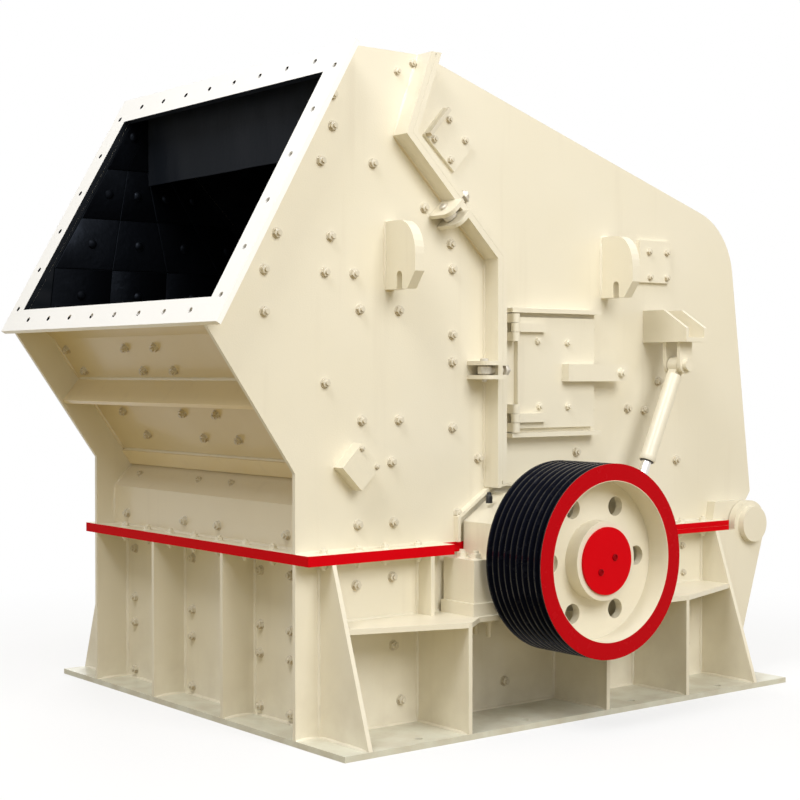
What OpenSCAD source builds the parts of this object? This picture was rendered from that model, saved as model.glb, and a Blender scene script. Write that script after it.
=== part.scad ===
// Horizontal shaft impact crusher: welded lower frame, fixed front housing with
// an inclined feed opening, and a rear housing that tips back on a hinge.
// X runs along the machine (the feed opening is at -X), the drive side is -Y.
// The origin is the centre of the foundation bolts, on the underside of the base.

/* [Base] */
// Length of the base flange along X
base_len = 2720; // [2660:10:2900]
// Reach of the base flange beyond the side plates
base_reach = 345; // [340:1:380]
// Thickness of the base flange
base_t = 25; // [20:1:40]
// Half spacing of the outer foundation bolts along X
anchor_x_outer = 930; // [900:5:960]
// Half spacing of the inner foundation bolts along X
anchor_x_inner = 335; // [250:5:420]
// Distance of the foundation bolts from the edge of the base flange
anchor_edge = 70; // [50:1:90]
// Radius of a foundation bolt hole
anchor_r = 18; // [14:0.5:24]

/* [Frame] */
// Run of the shelf's slanting edge behind the pulley
shelf_run = 100; // [60:1:140]
// Outer width over the side plates
body_w = 1750; // [1740:5:1800]
// Thickness of the side plates and panels
plate_t = 20; // [16:1:24]
// Height of the joint plane between the lower frame and the housings
joint_z = 773; // [765:1:800]
// Thickness of one joint flange
flange_t = 22; // [18:1:26]
// Gap between the joint flanges and the bearing housings
notch_gap = 8; // [6:1:12]
// Reach of the joint and split flanges beyond the side plates
joint_reach = 95; // [85:1:100]
// Reach of the joint flanges behind the rear panel
joint_rear_reach = 102; // [80:1:108]
// Recess of the front panel behind the front edge of the base flange
front_recess = 170; // [140:1:200]
// Recess of the rear panel from the rear edge of the base flange
rear_recess = 239; // [230:1:250]
// Height of the top of the bearing shelf
shelf_z = 495; // [480:1:505]
// Thickness of the bearing shelf
shelf_t = 22; // [18:1:30]
// Places of the ribs that carry the shelf, along X
shelf_rib_x = [-717, 100, 629]; // [-800:1:800]
// Recess of the first side rib behind the front edge of the base flange
first_rib_recess = 119; // [100:1:150]
// Places of the ribs above the shelf, along X
upper_rib_x = [-717, 480]; // [-800:1:800]
// Distance of the two front ribs from the middle of the machine
front_rib_y = 302; // [250:1:350]

// Fit between plates that meet on a slope
plate_fit = 0.2; // [0.1:0.1:0.4]

/* [Rotor] */
// Place of the shaft along X
shaft_x = -140; // [-160:1:-120]
// Height of the shaft axis
shaft_z = 735; // [725:1:740]
// Radius of the shaft in its bearings
shaft_r = 95; // [80:1:100]
// Radius of the opening for the shaft in the side plates
shaft_hole_r = 145; // [130:1:150]
// Wall of the sleeve on the shaft, under the rotor discs
sleeve_t = 25; // [15:1:30]
// Gap between the side plates and the rotor
rotor_gap = 75; // [65:1:100]
// Radius over the blow bars
rotor_r = 650; // [620:5:660]
// Radius of the rotor discs
disc_r = 560; // [520:5:580]
// Thickness of a rotor disc
disc_t = 60; // [40:1:80]
// Number of rotor discs
disc_count = 5; // [3:1:7]
// Thickness of a blow bar
bar_t = 110; // [80:1:120]
// Radius at which the inner edge of a blow bar lies
bar_inner_r = 360; // [330:5:400]
// Running clearance of shafts and pins, on the radius
run_fit = 0.05; // [0.02:0.01:0.1]

/* [Bearings] */
// Gap between the side plate and the bearing housing
bearing_gap = 20; // [12:1:24]
// Width of the bearing housing along the shaft
bearing_w = 205; // [180:1:220]
// Half length of the bearing base along X
bearing_half = 445; // [420:1:455]
// Half length of the bearing cap along X
cap_half = 330; // [300:1:350]
// Height of the upright ends of the bearing cap
cap_side = 150; // [120:1:160]
// Height of the bearing cap above the shaft axis
cap_h = 270; // [250:1:275]
// Half length of the flat top of the bearing cap
cap_top_half = 150; // [120:1:180]
// Height of the foot of the bearing base
foot_h = 55; // [40:1:70]
// Ledge of that foot round the bearing base
foot_ledge = 15; // [10:1:18]
// Gap between the bearing cap and the arch on the side plates
arch_gap = 40; // [30:1:60]
// Thickness of the arch bar
arch_t = 15; // [10:1:20]
// Reach of the arch bar beyond the side plates
arch_reach = 30; // [20:1:40]

/* [Pulley] */
// Radius of the pulley
pulley_r = 420; // [380:1:430]
// Width of the pulley along the shaft
pulley_w = 340; // [300:5:360]
// Gap between the bearing housing and the pulley
pulley_gap = 50; // [45:1:80]
// Number of belt grooves
groove_count = 9; // [6:1:9]
// Depth of a belt groove
groove_d = 22; // [16:1:26]
// Width of the flat land between two belt grooves
groove_land = 8; // [5:1:10]
// Run of a groove's sloping side along the shaft
groove_side = 7; // [4:1:8]
// Radial thickness of the pulley rim
rim_t = 75; // [60:1:85]
// Depth of the web behind the outer face of the rim
web_depth = 112; // [90:1:130]
// Thickness of the web
web_t = 38; // [30:1:50]
// Radius of the hub
hub_r = 172; // [165:1:180]
// Depth of the hub's face behind the outer face of the rim
hub_depth = 40; // [30:1:50]
// Radius of the cap on the hub
hub_cap_r = 146; // [120:1:155]
// Thickness of the cap on the hub
hub_cap_t = 10; // [6:1:14]
// Clearance between the pulley and the shelf and ribs beside it
pulley_clear = 20; // [15:1:25]
// Radius of the circle of web holes
web_hole_circle = 259; // [250:1:265]
// Radius of a web hole
web_hole_r = 43; // [35:1:50]

/* [Front housing] */
// Height of the roof above the ground
roof_z = 2920; // [2900:5:2940]
// Height at which the front edge starts to lean out
kink_z = 1128; // [1110:1:1150]
// Overhang of the feed flange in front of the base flange
feed_overhang = 444; // [430:1:460]
// Lower corner of the feed flange, above the ground
feed_low_z = 1743; // [1730:1:1760]
// Angle of the feed flange above the level
feed_angle = 60.2; // [59:0.1:62]
// Reach of the feed flange beyond the side plates
feed_reach = 108; // [95:1:120]
// Thickness of the feed flange
feed_t = 25; // [20:1:30]
// Width of the lower leg of the feed flange
feed_leg_low = 116; // [110:1:125]
// Width of the upper leg of the feed flange
feed_leg_top = 145; // [120:1:150]
// Radius of a bolt hole in the feed flange
feed_hole_r = 13; // [9:0.5:16]
// Spacing of the feed flange holes along the slope
feed_pitch_up = 222; // [200:1:225]
// Spacing of the feed flange holes across it
feed_pitch_across = 212; // [180:1:215]
// Horizontal recess of the sloping wall under the feed opening
hopper_recess = 176; // [165:1:185]
// Depth of the foot of the sloping wall below the kink of the front edge
hopper_foot = 40; // [30:1:50]
// Length of the upper end of that wall, which bends forward to the feed flange
hopper_lip = 200; // [180:1:220]
// Recess of the upright panel below it behind the front edge of the base flange
hopper_set_back = 98; // [90:1:110]
// Depth of the upper edge of that panel below the kink of the front edge
hopper_ledge = 145; // [130:1:155]
// Thickness of the wall under the feed opening
hopper_t = 16; // [12:1:18]
// Length of the hanging curtain inside the feed opening
curtain_len = 420; // [380:5:480]
// Thickness of the hanging curtain
curtain_t = 25; // [16:1:30]
// Distance of the hanging curtain behind the top of the feed flange
curtain_gap = 45; // [38:1:60]
// Height of the root of the upper cross beam above the kink of the front edge
beam_rise = 387; // [370:1:400]
// Width of the upper cross beam, from its root to its free edge
beam_w = 139; // [125:1:145]
// Slope of the upper cross beam, down and out
beam_angle = 50; // [45:0.5:55]
// Thickness of the upper cross beam
beam_t = 24; // [20:1:30]
// Height of the upper edge of the lower cross beam above the kink of the front edge
flat_rise = 35; // [25:1:45]
// Width of the lower cross beam, a bar laid flat on the sloping wall
flat_w = 82; // [75:1:84]
// Thickness of the lower cross beam
flat_t = 14; // [10:1:20]
// Distance of the inspection boxes behind the front edge of the base flange
box_recess = 294; // [250:1:330]
// Height of the middle of the inspection boxes above the ground
box_z = 1147; // [1100:1:1200]
// Side of an inspection box
box_side = 140; // [120:1:160]
// Depth of an inspection box
box_depth = 65; // [50:1:80]

/* [Split line] */
// Front face of the split flange, upright part, along X
split_x = -333; // [-340:1:-325]
// Height at which the upright part ends and the slope starts
split_turn_z = 2050; // [2030:1:2070]
// Upper end of the slope, along X
split_top_x = -850; // [-870:1:-830]
// Upper end of the slope, above the ground
split_top_z = 2558; // [2540:1:2580]
// Lean of the top part of the split line, forward per unit of height
split_lean = 0.373; // [0.3:0.001:0.4]
// Thickness of one split flange
split_t = 24; // [18:1:26]
// Open seam between the fixed and the tipping flanges
seam = 5; // [5:1:8]
// Height of the lower swing-bolt clamps above the ground
clamp_z = 1554; // [1500:1:1600]
// Distance of the upper clamps up the slope from its lower end
clamp_rise = 310; // [280:1:340]
// Length of a clamp's lugs in front of the flange
clamp_len = 100; // [80:1:120]
// Gap between the two lugs of a clamp
clamp_gap = 44; // [40:1:50]
// Thickness of a clamp lug
clamp_t = 18; // [14:1:22]
// Width of the slots for the swing bolts
slot_w = 40; // [34:1:44]

/* [Rear housing] */
// Step down from the front roof to the start of the rear roof
rear_roof_step = 6; // [4:1:10]
// Fall of the rear roof per unit of length
rear_roof_fall = 0.3218; // [0.3:0.001:0.33]
// Corner where the roof and the back wall would meet, behind the rear panel
rear_corner_reach = 203; // [190:1:215]
// Radius of the rounded corner between the roof and the back wall
rear_corner_r = 350; // [250:5:380]
// Lower end of the back wall, behind the rear panel
rear_low_reach = 376; // [365:1:385]
// Lower end of the back wall, above the ground
rear_low_z = 930; // [910:1:950]
// Rear end of the flat bottom edge of the back wall, behind the rear panel
rear_heel_reach = 279; // [265:1:295]
// Pivot of the front apron, from the middle and the roof
front_apron_pivot = [150, -500]; // [-3000:10:3000]
// Bend of the front apron
front_apron_bend = [420, 1750]; // [0:10:3000]
// Lower edge of the front apron
front_apron_edge = [330, 1320]; // [0:10:3000]
// Pivot of the rear apron, from the rear panel and the roof
rear_apron_pivot = [-41, -800]; // [-3000:10:3000]
// Bend of the rear apron, from the rear panel and the ground
rear_apron_bend = [-121, 1350]; // [-500:10:3000]
// Lower edge of the rear apron, from the rear panel and the ground
rear_apron_edge = [-511, 900]; // [-600:10:3000]
// Thickness of the aprons
apron_t = 80; // [60:1:90]
// Radius of the bars that the aprons hang on
apron_bar_r = 55; // [45:1:60]
// Gap between the aprons and the side plates
apron_gap = 20; // [10:1:30]
// Middle of the slanting cover plate, along X
cover_x = -548; // [-560:1:-530]
// Middle of the slanting cover plate, above the ground
cover_z = 2565; // [2550:1:2580]
// Size of the slanting cover plate along and across its slope
cover_size = [226, 170]; // [120:1:260]
// Slope of that cover plate
cover_angle = 42; // [38:0.5:46]
// Thickness of that cover plate
cover_t = 16; // [12:1:20]
// Front edge of the square cover plate, along X
port_x = 651; // [640:1:660]
// Lower edge of the square cover plate, above the ground
port_z = 1982; // [1970:1:1990]
// Width and height of the square cover plate
port_size = [213, 205]; // [180:1:230]
// Thickness of the square cover plate
port_t = 20; // [14:1:26]

/* [Rear hinge] */
// Place of the hinge axis behind the rear panel
hinge_reach = 262; // [255:1:270]
// Radius of the hinge pin
hinge_pin_r = 45; // [35:1:50]
// Radius of the round ends of the hinge ears
hinge_ear_r = 118; // [105:1:120]
// Radius of the head of the hinge pin
hinge_head_r = 90; // [75:1:95]
// Thickness of the ears on the rear housing
tip_ear_t = 50; // [40:1:50]
// Thickness of the ears on the lower frame
frame_ear_t = 40; // [30:1:45]
// Gap between the ears
ear_gap = 5; // [5:1:8]
// Thickness of the head of the hinge pin
hinge_head_t = 35; // [20:1:40]
// Slope of the rear edge of the frame's ears
ear_slope = 16; // [10:1:20]
// Reach of the rear housing's ear behind the end of the joint flanges
tip_ear_run = 20; // [16:1:30]
// Gap between the hinge pin and the side plate of the rear housing
hinge_pin_gap = 5; // [3:1:8]
// Reach of the rear housing's ear in front of the end of the joint flanges
tip_ear_reach = 73; // [50:1:90]

/* [Doors] */
// Front edge of the door frame, along X
door_frame_x = -225; // [-235:1:-220]
// Width of the door frame
door_frame_w = 566; // [560:1:580]
// Lower edge of the door frame above the ground
door_frame_z = 1250; // [1240:1:1260]
// Height of the door frame
door_frame_h = 585; // [575:1:600]
// Thickness of the door frame
door_frame_t = 20; // [16:1:24]
// Width of the opening behind the door
door_hole = 440; // [400:5:450]
// Margin between the door and the edge of its frame
door_margin = 26; // [20:1:35]
// Thickness of the door
door_t = 25; // [20:1:30]
// Height of the door
door_h = 505; // [490:1:510]
// Distance of the hinge axis in front of the door's edge
door_hinge_gap = 30; // [28:1:34]
// Distance of the hinge axis behind the front edge of the frame
door_hinge_inset = 25; // [24:1:28]
// Distance of the hinge axis outside the door
door_hinge_out = 18; // [16:1:22]
// Gap between the knuckles of a hinge
knuckle_gap = 2; // [1:0.5:3]
// Thickness of a hinge strap
strap_t = 24; // [20:1:28]
// Length of a hinge strap from the hinge axis
strap_len = 190; // [150:1:220]
// Height of the ledges over and under the door
ledge_h = 20; // [14:1:24]
// Distance of the hasp from the door's hinge edge
hasp_start = 277; // [260:1:290]
// Length of the hasp
hasp_len = 396; // [380:1:410]
// Height of the hasp
hasp_h = 80; // [60:1:90]
// Thickness of the hasp
hasp_t = 45; // [30:1:50]
// Radius of a door hinge knuckle
knuckle_r = 20; // [16:1:22]
// Radius of a door hinge pin
door_pin_r = 8; // [6:0.5:10]
// Height of one door hinge knuckle
knuckle_h = 40; // [30:1:50]
// Distance of the hinges from the middle of the door
door_hinge_z = 205; // [190:1:210]

/* [Cylinders] */
// Upper pin of the lifting cylinders, along X
cyl_top_x = 760; // [750:1:770]
// Upper pin of the lifting cylinders, above the ground
cyl_top_z = 1580; // [1570:1:1590]
// Lower pin of the lifting cylinders, along X
cyl_low_x = 385; // [380:1:395]
// Lower pin of the lifting cylinders, above the ground
cyl_low_z = 775; // [765:1:785]
// Distance of the cylinders from the side plates
cyl_reach = 165; // [163:1:170]
// Radius of the barrel
barrel_r = 37; // [32:1:42]
// Length of the barrel from its pin
barrel_len = 500; // [480:5:520]
// Radius of the rod
rod_r = 24; // [18:1:28]
// Radius of the pins
cyl_pin_r = 18; // [14:1:22]
// Width of the eyes
eye_w = 60; // [50:1:62]
// Radius of the eyes
eye_r = 40; // [36:1:44]
// Width of a barrel's square neck
neck_w = 48; // [44:1:50]
// Thickness of a barrel's closed end
barrel_end_t = 20; // [16:1:24]
// Gap between the inner end of a rod and the closed end of its barrel
rod_gap = 5; // [3:1:8]
// Length of a barrel's neck from its pin
neck_len = 55; // [50:1:60]
// Thickness of the bracket ears
cyl_ear_t = 20; // [16:1:24]
// Half width of the bracket ears
cyl_ear_r = 42; // [38:1:46]
// Radial ledge and thickness of a pin's head
pin_head = [10, 25]; // [5:1:30]
// Thickness of the foot plates under the lower ears
foot_plate_t = 30; // [20:1:35]
// Height of the upper brackets' plates above the upper pins
bracket_rise = 110; // [90:1:120]
// Thickness of the upper brackets' plates
bracket_t = 22; // [18:1:26]
// Length of the upper brackets along X
bracket_len = 145; // [130:1:160]
// Distance of the upper brackets' front edge in front of the upper pins
bracket_lead = 66; // [60:1:75]
// Height of the gussets on the upper brackets
bracket_gusset_h = 133; // [110:1:150]
// Thickness of the gussets on the upper brackets
bracket_gusset_t = 18; // [14:1:22]
// Reach of the upper brackets beyond their ears
bracket_reach = 60; // [40:1:70]
// Side gap between the eyes and the ears
eye_gap = 5; // [3:1:6]
// Clearance of the lower eye round its pin, on the radius
low_eye_fit = 11; // [10:0.5:14]

/* [Lifting lugs] */
// Height of a lifting lug
lug_h = 290; // [260:5:300]
// Reach of a lifting lug from the side plate
lug_reach = 207; // [180:1:220]
// Thickness of a lifting lug
lug_t = 50; // [40:1:60]
// Distance of the slot's middle from the side plate
lug_slot_y = 100; // [90:1:120]
// Width of the slot in a lifting lug
lug_slot_w = 38; // [30:1:60]
// Depth of the slot in a lifting lug
lug_slot_h = 76; // [60:1:100]
// Lower edge of the lifting lugs above the ground
lug_z = 1897; // [1880:1:1910]
// Place of the front lifting lugs along X
lug_front_x = -895; // [-910:1:-880]
// Place of the rear lifting lugs along X
lug_rear_x = 404; // [390:1:420]

/* [Hidden] */
$fn = 64;

cream = [0.93, 0.88, 0.79];
red = [0.84, 0.03, 0.09];
dark = [0.10, 0.10, 0.12];
steel = [0.60, 0.60, 0.62];

half_w = body_w / 2;
inner_w = half_w - plate_t;
front_x = -base_len / 2;
front_panel_x = front_x + front_recess;
base_half_w = half_w + base_reach;
joint_half_w = half_w + joint_reach;
feed_half_w = half_w + feed_reach;
cyl_y = half_w + cyl_reach;
rear_panel_x = -front_x - rear_recess;
joint_rear_x = rear_panel_x + joint_rear_reach;
hinge_x = rear_panel_x + hinge_reach;
first_rib_x = front_x + first_rib_recess;
feed_low_x = front_x - feed_overhang;
feed_len = (roof_z - feed_low_z) / sin(feed_angle);
rear_roof_z = roof_z - rear_roof_step;
hopper_wall_x = front_x + hopper_set_back;
rotor_len = 2 * (inner_w - rotor_gap);
anchor_y = base_half_w - anchor_edge;
lower_top = joint_z - flange_t;
upper_low = joint_z + flange_t;
tip_low = upper_low + seam;
bearing_y = half_w + bearing_gap;
bearing_out = bearing_y + bearing_w;
pulley_in = bearing_out + pulley_gap;
pulley_out = pulley_in + pulley_w;
split_mid = split_t;
// How far a cutting outline runs past what it cuts.
overrun = 900;
split_rear = split_t + seam;
rib_t = plate_t;
// The joint flanges stop beside the bearing housings.
notch_front_x = shaft_x - bearing_half;
notch_rear_x = shaft_x + bearing_half;
notch_y = bearing_y - notch_gap;
split_low_z = shaft_z + cap_h + arch_gap;

// Geometry helpers: points are [x, z] pairs in the plane of the side plates.
function unit(v) = v / norm(v);
function right_of(p, q) = let (d = unit(q - p)) [d[1], -d[0]];
function mitre(p, q, r, t) =
    let (a = right_of(p, q), b = right_of(q, r)) q + (a + b) * t / (1 + a * b);
function at_height(p, d, z) = p + d * (z - p[1]) / d[1];
function polar(a) = [cos(a), sin(a)];
function arc(c, r, a0, a1, n) = [for (i = [0 : n]) c + r * polar(a0 + (a1 - a0) * i / n)];
function reversed(v) = [for (i = [len(v) - 1 : -1 : 0]) v[i]];

// Rounds the corner q of the path p-q-r to the radius rad with n steps.
function round_corner(p, q, r, rad, n) =
    let (u = unit(p - q), w = unit(r - q), half = acos(u * w) / 2, c = q + unit(u + w) * rad / sin(half),
         p0 = q + u * rad / tan(half), p1 = q + w * rad / tan(half),
         a0 = atan2(p0[1] - c[1], p0[0] - c[0]), a1 = atan2(p1[1] - c[1], p1[0] - c[0]))
    arc(c, rad, a0, a1, n);

// The line along which the housings part, moved t to the rear, from z0 up to z1.
split_turn = [split_x, split_turn_z];
split_top = [split_top_x, split_top_z];
split_end = split_top + [split_lean, 1] * (roof_z - split_top_z);
function split_line(t, z0, z1) =
    [[split_x + t, z0],
     mitre([split_x, 0], split_turn, split_top, t),
     mitre(split_turn, split_top, split_end, t),
     at_height(split_end + right_of(split_top, split_end) * t, unit(split_end - split_top), z1)];

// Frame of the feed flange: its slope, and its back plane.
feed_dir = [cos(feed_angle), sin(feed_angle)];
feed_back = [feed_dir[1], -feed_dir[0]];
feed_low = [feed_low_x, feed_low_z];
feed_low_back = feed_low + feed_back * feed_t;
feed_seat = feed_low_back + feed_back * plate_fit;

// The sloping wall under the feed opening, parallel to the leaning front edge.
front_kink = [front_x, kink_z];
lean_dir = unit(feed_low_back - front_kink);
wall_start = front_kink + [hopper_recess, 0];
wall_in = [lean_dir[1], -lean_dir[0]];

// The outer outline of the rear housing, from the split over the roof and down the back.
rear_start = split_line(split_rear + split_t, split_low_z, rear_roof_z)[3];
rear_corner_x = rear_panel_x + rear_corner_reach;
rear_corner = [rear_corner_x, rear_roof_z - rear_roof_fall * (rear_corner_x - rear_start[0])];
rear_low = [rear_panel_x + rear_low_reach, rear_low_z];
rear_heel = [rear_panel_x + rear_heel_reach, tip_low];

function rear_outline(t) =
    let (corner = mitre(rear_start, rear_corner, rear_low, t),
         low = mitre(rear_corner, rear_low, rear_heel, t),
         heel = mitre(rear_low, rear_heel, [rear_panel_x, tip_low], t),
         roof = rear_start + right_of(rear_start, rear_corner) * t)
    concat([roof + unit(rear_start - rear_corner) * overrun],
           round_corner(roof, corner, low, rear_corner_r - t, 10),
           [low, heel, [rear_panel_x, heel[1]], [rear_panel_x, tip_low - 1],
            [split_x - overrun, tip_low - 1]]);

// A plate in the XZ plane, from y0 to y0 + t.
module plate_xz(y0, t) {
    translate([0, y0 + t, 0])
        rotate([90, 0, 0])
            linear_extrude(t)
                children();
}

// A plate in the YZ plane, from x0 to x0 + t.
module plate_yz(x0, t) {
    translate([x0, 0, 0])
        rotate([90, 0, 90])
            linear_extrude(t)
                children();
}

module box(lo, hi) {
    translate(lo)
        cube(hi - lo);
}

// A pin or bore along Y, from y0 to y1.
module rod_y(x, z, r, y0, y1) {
    translate([x, y1, z])
        rotate([90, 0, 0])
            cylinder(r = r, h = y1 - y0);
}

module both_sides() {
    children();
    mirror([0, 1, 0])
        children();
}

module base_flange() {
    color(cream)
        difference() {
            box([front_x, -base_half_w, 0], [-front_x, base_half_w, base_t]);
            box([front_panel_x + plate_t, -inner_w, -1], [rear_panel_x, inner_w, base_t + 1]);
            for (x = [-anchor_x_outer, -anchor_x_inner, anchor_x_inner, anchor_x_outer], s = [-1, 1])
                translate([x, s * anchor_y, -1])
                    cylinder(r = anchor_r, h = base_t + 2);
        }
}

module lower_side_plate() {
    difference() {
        plate_xz(inner_w, plate_t)
            translate([front_x, base_t])
                square([rear_panel_x + rib_t - front_x, lower_top - base_t]);
        rod_y(shaft_x, shaft_z, shaft_hole_r, inner_w - 1, half_w + 1);
        box([shaft_x - shaft_hole_r, inner_w - 1, shaft_z], [shaft_x + shaft_hole_r, half_w + 1, joint_z]);
    }
}

module lower_side_plate_near() {
    color(cream)
        mirror([0, 1, 0])
            lower_side_plate();
}

module lower_side_plate_far() {
    color(cream)
        lower_side_plate();
}

module lower_end_panels() {
    color(cream) {
        box([front_panel_x, -inner_w, base_t], [front_panel_x + plate_t, inner_w, lower_top]);
        box([rear_panel_x, -inner_w, base_t], [rear_panel_x + plate_t, inner_w, lower_top]);
    }
}

// A full-height rib with a leaning outer edge.
module leaning_rib(x) {
    plate_yz(x, rib_t)
        polygon([[half_w, base_t], [base_half_w, base_t], [joint_half_w, lower_top], [half_w, lower_top]]);
}

// A rib under the shelf, cut back where it would meet the pulley.
module shelf_rib(x) {
    reach = min(abs(x - shaft_x), abs(x + rib_t - shaft_x));
    low = shaft_z - sqrt(max(0, pow(pulley_r + pulley_clear, 2) - reach * reach));
    free = min(shelf_z - shelf_t, low);
    plate_yz(x, rib_t)
        polygon([[half_w, base_t], [base_half_w, base_t], [base_half_w, free - pulley_clear],
                 [free < low ? base_half_w : pulley_in - pulley_clear, free],
                 [free < low ? base_half_w : pulley_in - pulley_clear, shelf_z - shelf_t],
                 [half_w, shelf_z - shelf_t]]);
}

module lower_frame_ribs() {
    color(cream) {
        for (y = [-front_rib_y, front_rib_y])
            box([front_x, y - rib_t / 2, base_t], [front_panel_x, y + rib_t / 2, lower_top]);
        both_sides() {
            leaning_rib(first_rib_x);
            leaning_rib(rear_panel_x);
            for (x = shelf_rib_x)
                shelf_rib(x);
            for (x = upper_rib_x)
                box([x, half_w, shelf_z], [x + rib_t, joint_half_w, lower_top]);
        }
    }
}

// The shelf widens from the leaning ribs to the full width of the base, and draws back beside the pulley.
module bearing_shelves() {
    rib_y = joint_half_w + (base_half_w - joint_half_w) * (lower_top - shelf_z) / (lower_top - base_t);
    pulley_reach = pulley_r + pulley_clear;
    color(cream)
        both_sides()
            translate([0, 0, shelf_z - shelf_t])
                linear_extrude(shelf_t)
                    polygon([[first_rib_x + rib_t, half_w], [first_rib_x + rib_t, rib_y],
                             [shelf_rib_x[0], base_half_w], [shelf_rib_x[0] + rib_t, base_half_w],
                             [shaft_x - pulley_reach, pulley_in - pulley_clear],
                             [shaft_x + pulley_reach, pulley_in - pulley_clear],
                             [shaft_x + pulley_reach + shelf_run, base_half_w],
                             [shelf_rib_x[2] + rib_t, base_half_w],
                             [rear_panel_x, rib_y], [rear_panel_x, half_w]]);
}

// One layer of the joint flange between two places along X.
module joint_layer(x0, x1, z0, z1, cut_front, cut_rear) {
    difference() {
        box([x0, -joint_half_w, z0], [x1, joint_half_w, z1]);
        box([cut_front ? front_panel_x + plate_t : x0 - 1, -inner_w, z0 - 1],
            [cut_rear ? rear_panel_x : x1 + 1, inner_w, z1 + 1]);
        both_sides() {
            box([notch_front_x, notch_y, z0 - 1], [notch_rear_x, joint_half_w + 1, z1 + 1]);
            box([shaft_x - shaft_hole_r, inner_w - 1, z0 - 1],
                [shaft_x + shaft_hole_r, joint_half_w + 1, z1 + 1]);
        }
    }
}

module lower_joint_flange() {
    color(red)
        joint_layer(front_x, joint_rear_x, lower_top, joint_z, true, true);
}

module front_joint_flange() {
    color(red)
        joint_layer(front_x, split_x + split_mid, joint_z, upper_low, true, false);
}

module rear_joint_flange() {
    color(red)
        joint_layer(split_x + split_rear, joint_rear_x, joint_z + seam, tip_low, false, true);
}

frame_ear_y = half_w + tip_ear_t + ear_gap;
frame_ear_out = frame_ear_y + frame_ear_t;

module hinge_pin() {
    rod_y(hinge_x, joint_z, hinge_pin_r, half_w + hinge_pin_gap, frame_ear_out + hinge_head_t);
    rod_y(hinge_x, joint_z, hinge_head_r, frame_ear_out, frame_ear_out + hinge_head_t);
}

module lower_hinge_ears() {
    color(cream)
        both_sides() {
            difference() {
                union() {
                    plate_xz(frame_ear_y, frame_ear_t)
                        polygon([[rear_panel_x + rib_t, base_t], [hinge_x - hinge_ear_r, base_t],
                                 [hinge_x, joint_z] + hinge_ear_r * polar(-ear_slope),
                                 [hinge_x, joint_z], [hinge_x - hinge_ear_r, lower_top],
                                 [rear_panel_x + rib_t, lower_top]]);
                    rod_y(hinge_x, joint_z, hinge_ear_r, frame_ear_y, frame_ear_out);
                }
                rod_y(hinge_x, joint_z, hinge_pin_r + run_fit, frame_ear_y - 1, frame_ear_out + 1);
            }
            hinge_pin();
        }
}

module bearing_housing() {
    seat = shaft_z - shelf_z;
    difference() {
        plate_xz(bearing_y, bearing_w)
            translate([shaft_x, shelf_z])
                polygon([[-bearing_half, foot_h], [-bearing_half, seat], [-cap_half, seat],
                         [-cap_half, seat + cap_side], [-cap_top_half, seat + cap_h],
                         [cap_top_half, seat + cap_h], [cap_half, seat + cap_side],
                         [cap_half, seat], [bearing_half, seat], [bearing_half, foot_h]]);
        rod_y(shaft_x, shaft_z, shaft_r + run_fit, bearing_y - 1, bearing_out + 1);
    }
    box([shaft_x - bearing_half - foot_ledge, bearing_y, shelf_z],
        [shaft_x + bearing_half + foot_ledge, bearing_out + foot_ledge, shelf_z + foot_h]);
}

module bearing_housing_near() {
    color(cream)
        mirror([0, 1, 0])
            bearing_housing();
}

module bearing_housing_far() {
    color(cream)
        bearing_housing();
}

// The outline of the arch bars round the bearing caps, at the distance g from the cap.
function arch_line(g) =
    let (p = [[-cap_half, upper_low], [-cap_half, shaft_z + cap_side], [-cap_top_half, shaft_z + cap_h],
              [cap_top_half, shaft_z + cap_h], [cap_half, shaft_z + cap_side], [cap_half, upper_low]],
         bends = [for (i = [1 : 4]) mitre(p[i - 1], p[i], p[i + 1], -g)])
    [for (q = concat([p[0] - [g, 0]], bends, [p[5] + [g, 0]])) q + [shaft_x, 0]];

// The arch bar on one side, for the housing in front of or behind the split line.
module arch_bar() {
    plate_xz(half_w, arch_reach)
        intersection() {
            difference() {
                polygon(arch_line(arch_gap));
                polygon(concat(arch_line(arch_gap - arch_t),
                               [[shaft_x + cap_half, upper_low - 1], [shaft_x - cap_half, upper_low - 1]]));
            }
            children();
        }
}

module front_side_plate() {
    plate_xz(inner_w, plate_t)
        polygon(concat([[front_x, upper_low], front_kink, feed_seat,
                        at_height(feed_seat, feed_dir, roof_z - plate_t)],
                       reversed(split_line(split_mid, upper_low, roof_z - plate_t))));
}

module front_side_plate_near() {
    color(cream)
        mirror([0, 1, 0])
            front_side_plate();
}

module front_side_plate_far() {
    color(cream)
        front_side_plate();
}

// Turns a frame so that its X runs up the slope of the feed flange and its Z points out of it.
module on_feed_flange() {
    translate([feed_low_x, 0, feed_low_z])
        rotate([0, -feed_angle, 0])
            children();
}

module feed_flange() {
    leg_y = (feed_half_w + inner_w) / 2;
    low_x = feed_leg_low / 2;
    top_x = feed_len - feed_leg_top / 2;
    up_start = (feed_len - 5 * feed_pitch_up) / 2;
    color("white")
        on_feed_flange()
            difference() {
                box([0, -feed_half_w, -feed_t], [feed_len, feed_half_w, 0]);
                box([feed_leg_low, -inner_w, -feed_t - 1], [feed_len - feed_leg_top, inner_w, 1]);
                for (s = [-1, 1], i = [0 : 5])
                    translate([up_start + i * feed_pitch_up, s * leg_y, -feed_t - 1])
                        cylinder(r = feed_hole_r, h = feed_t + 2);
                for (x = [low_x, top_x], i = [-3.5 : 1 : 3.5])
                    translate([x, i * feed_pitch_across, -feed_t - 1])
                        cylinder(r = feed_hole_r, h = feed_t + 2);
            }
}

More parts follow.
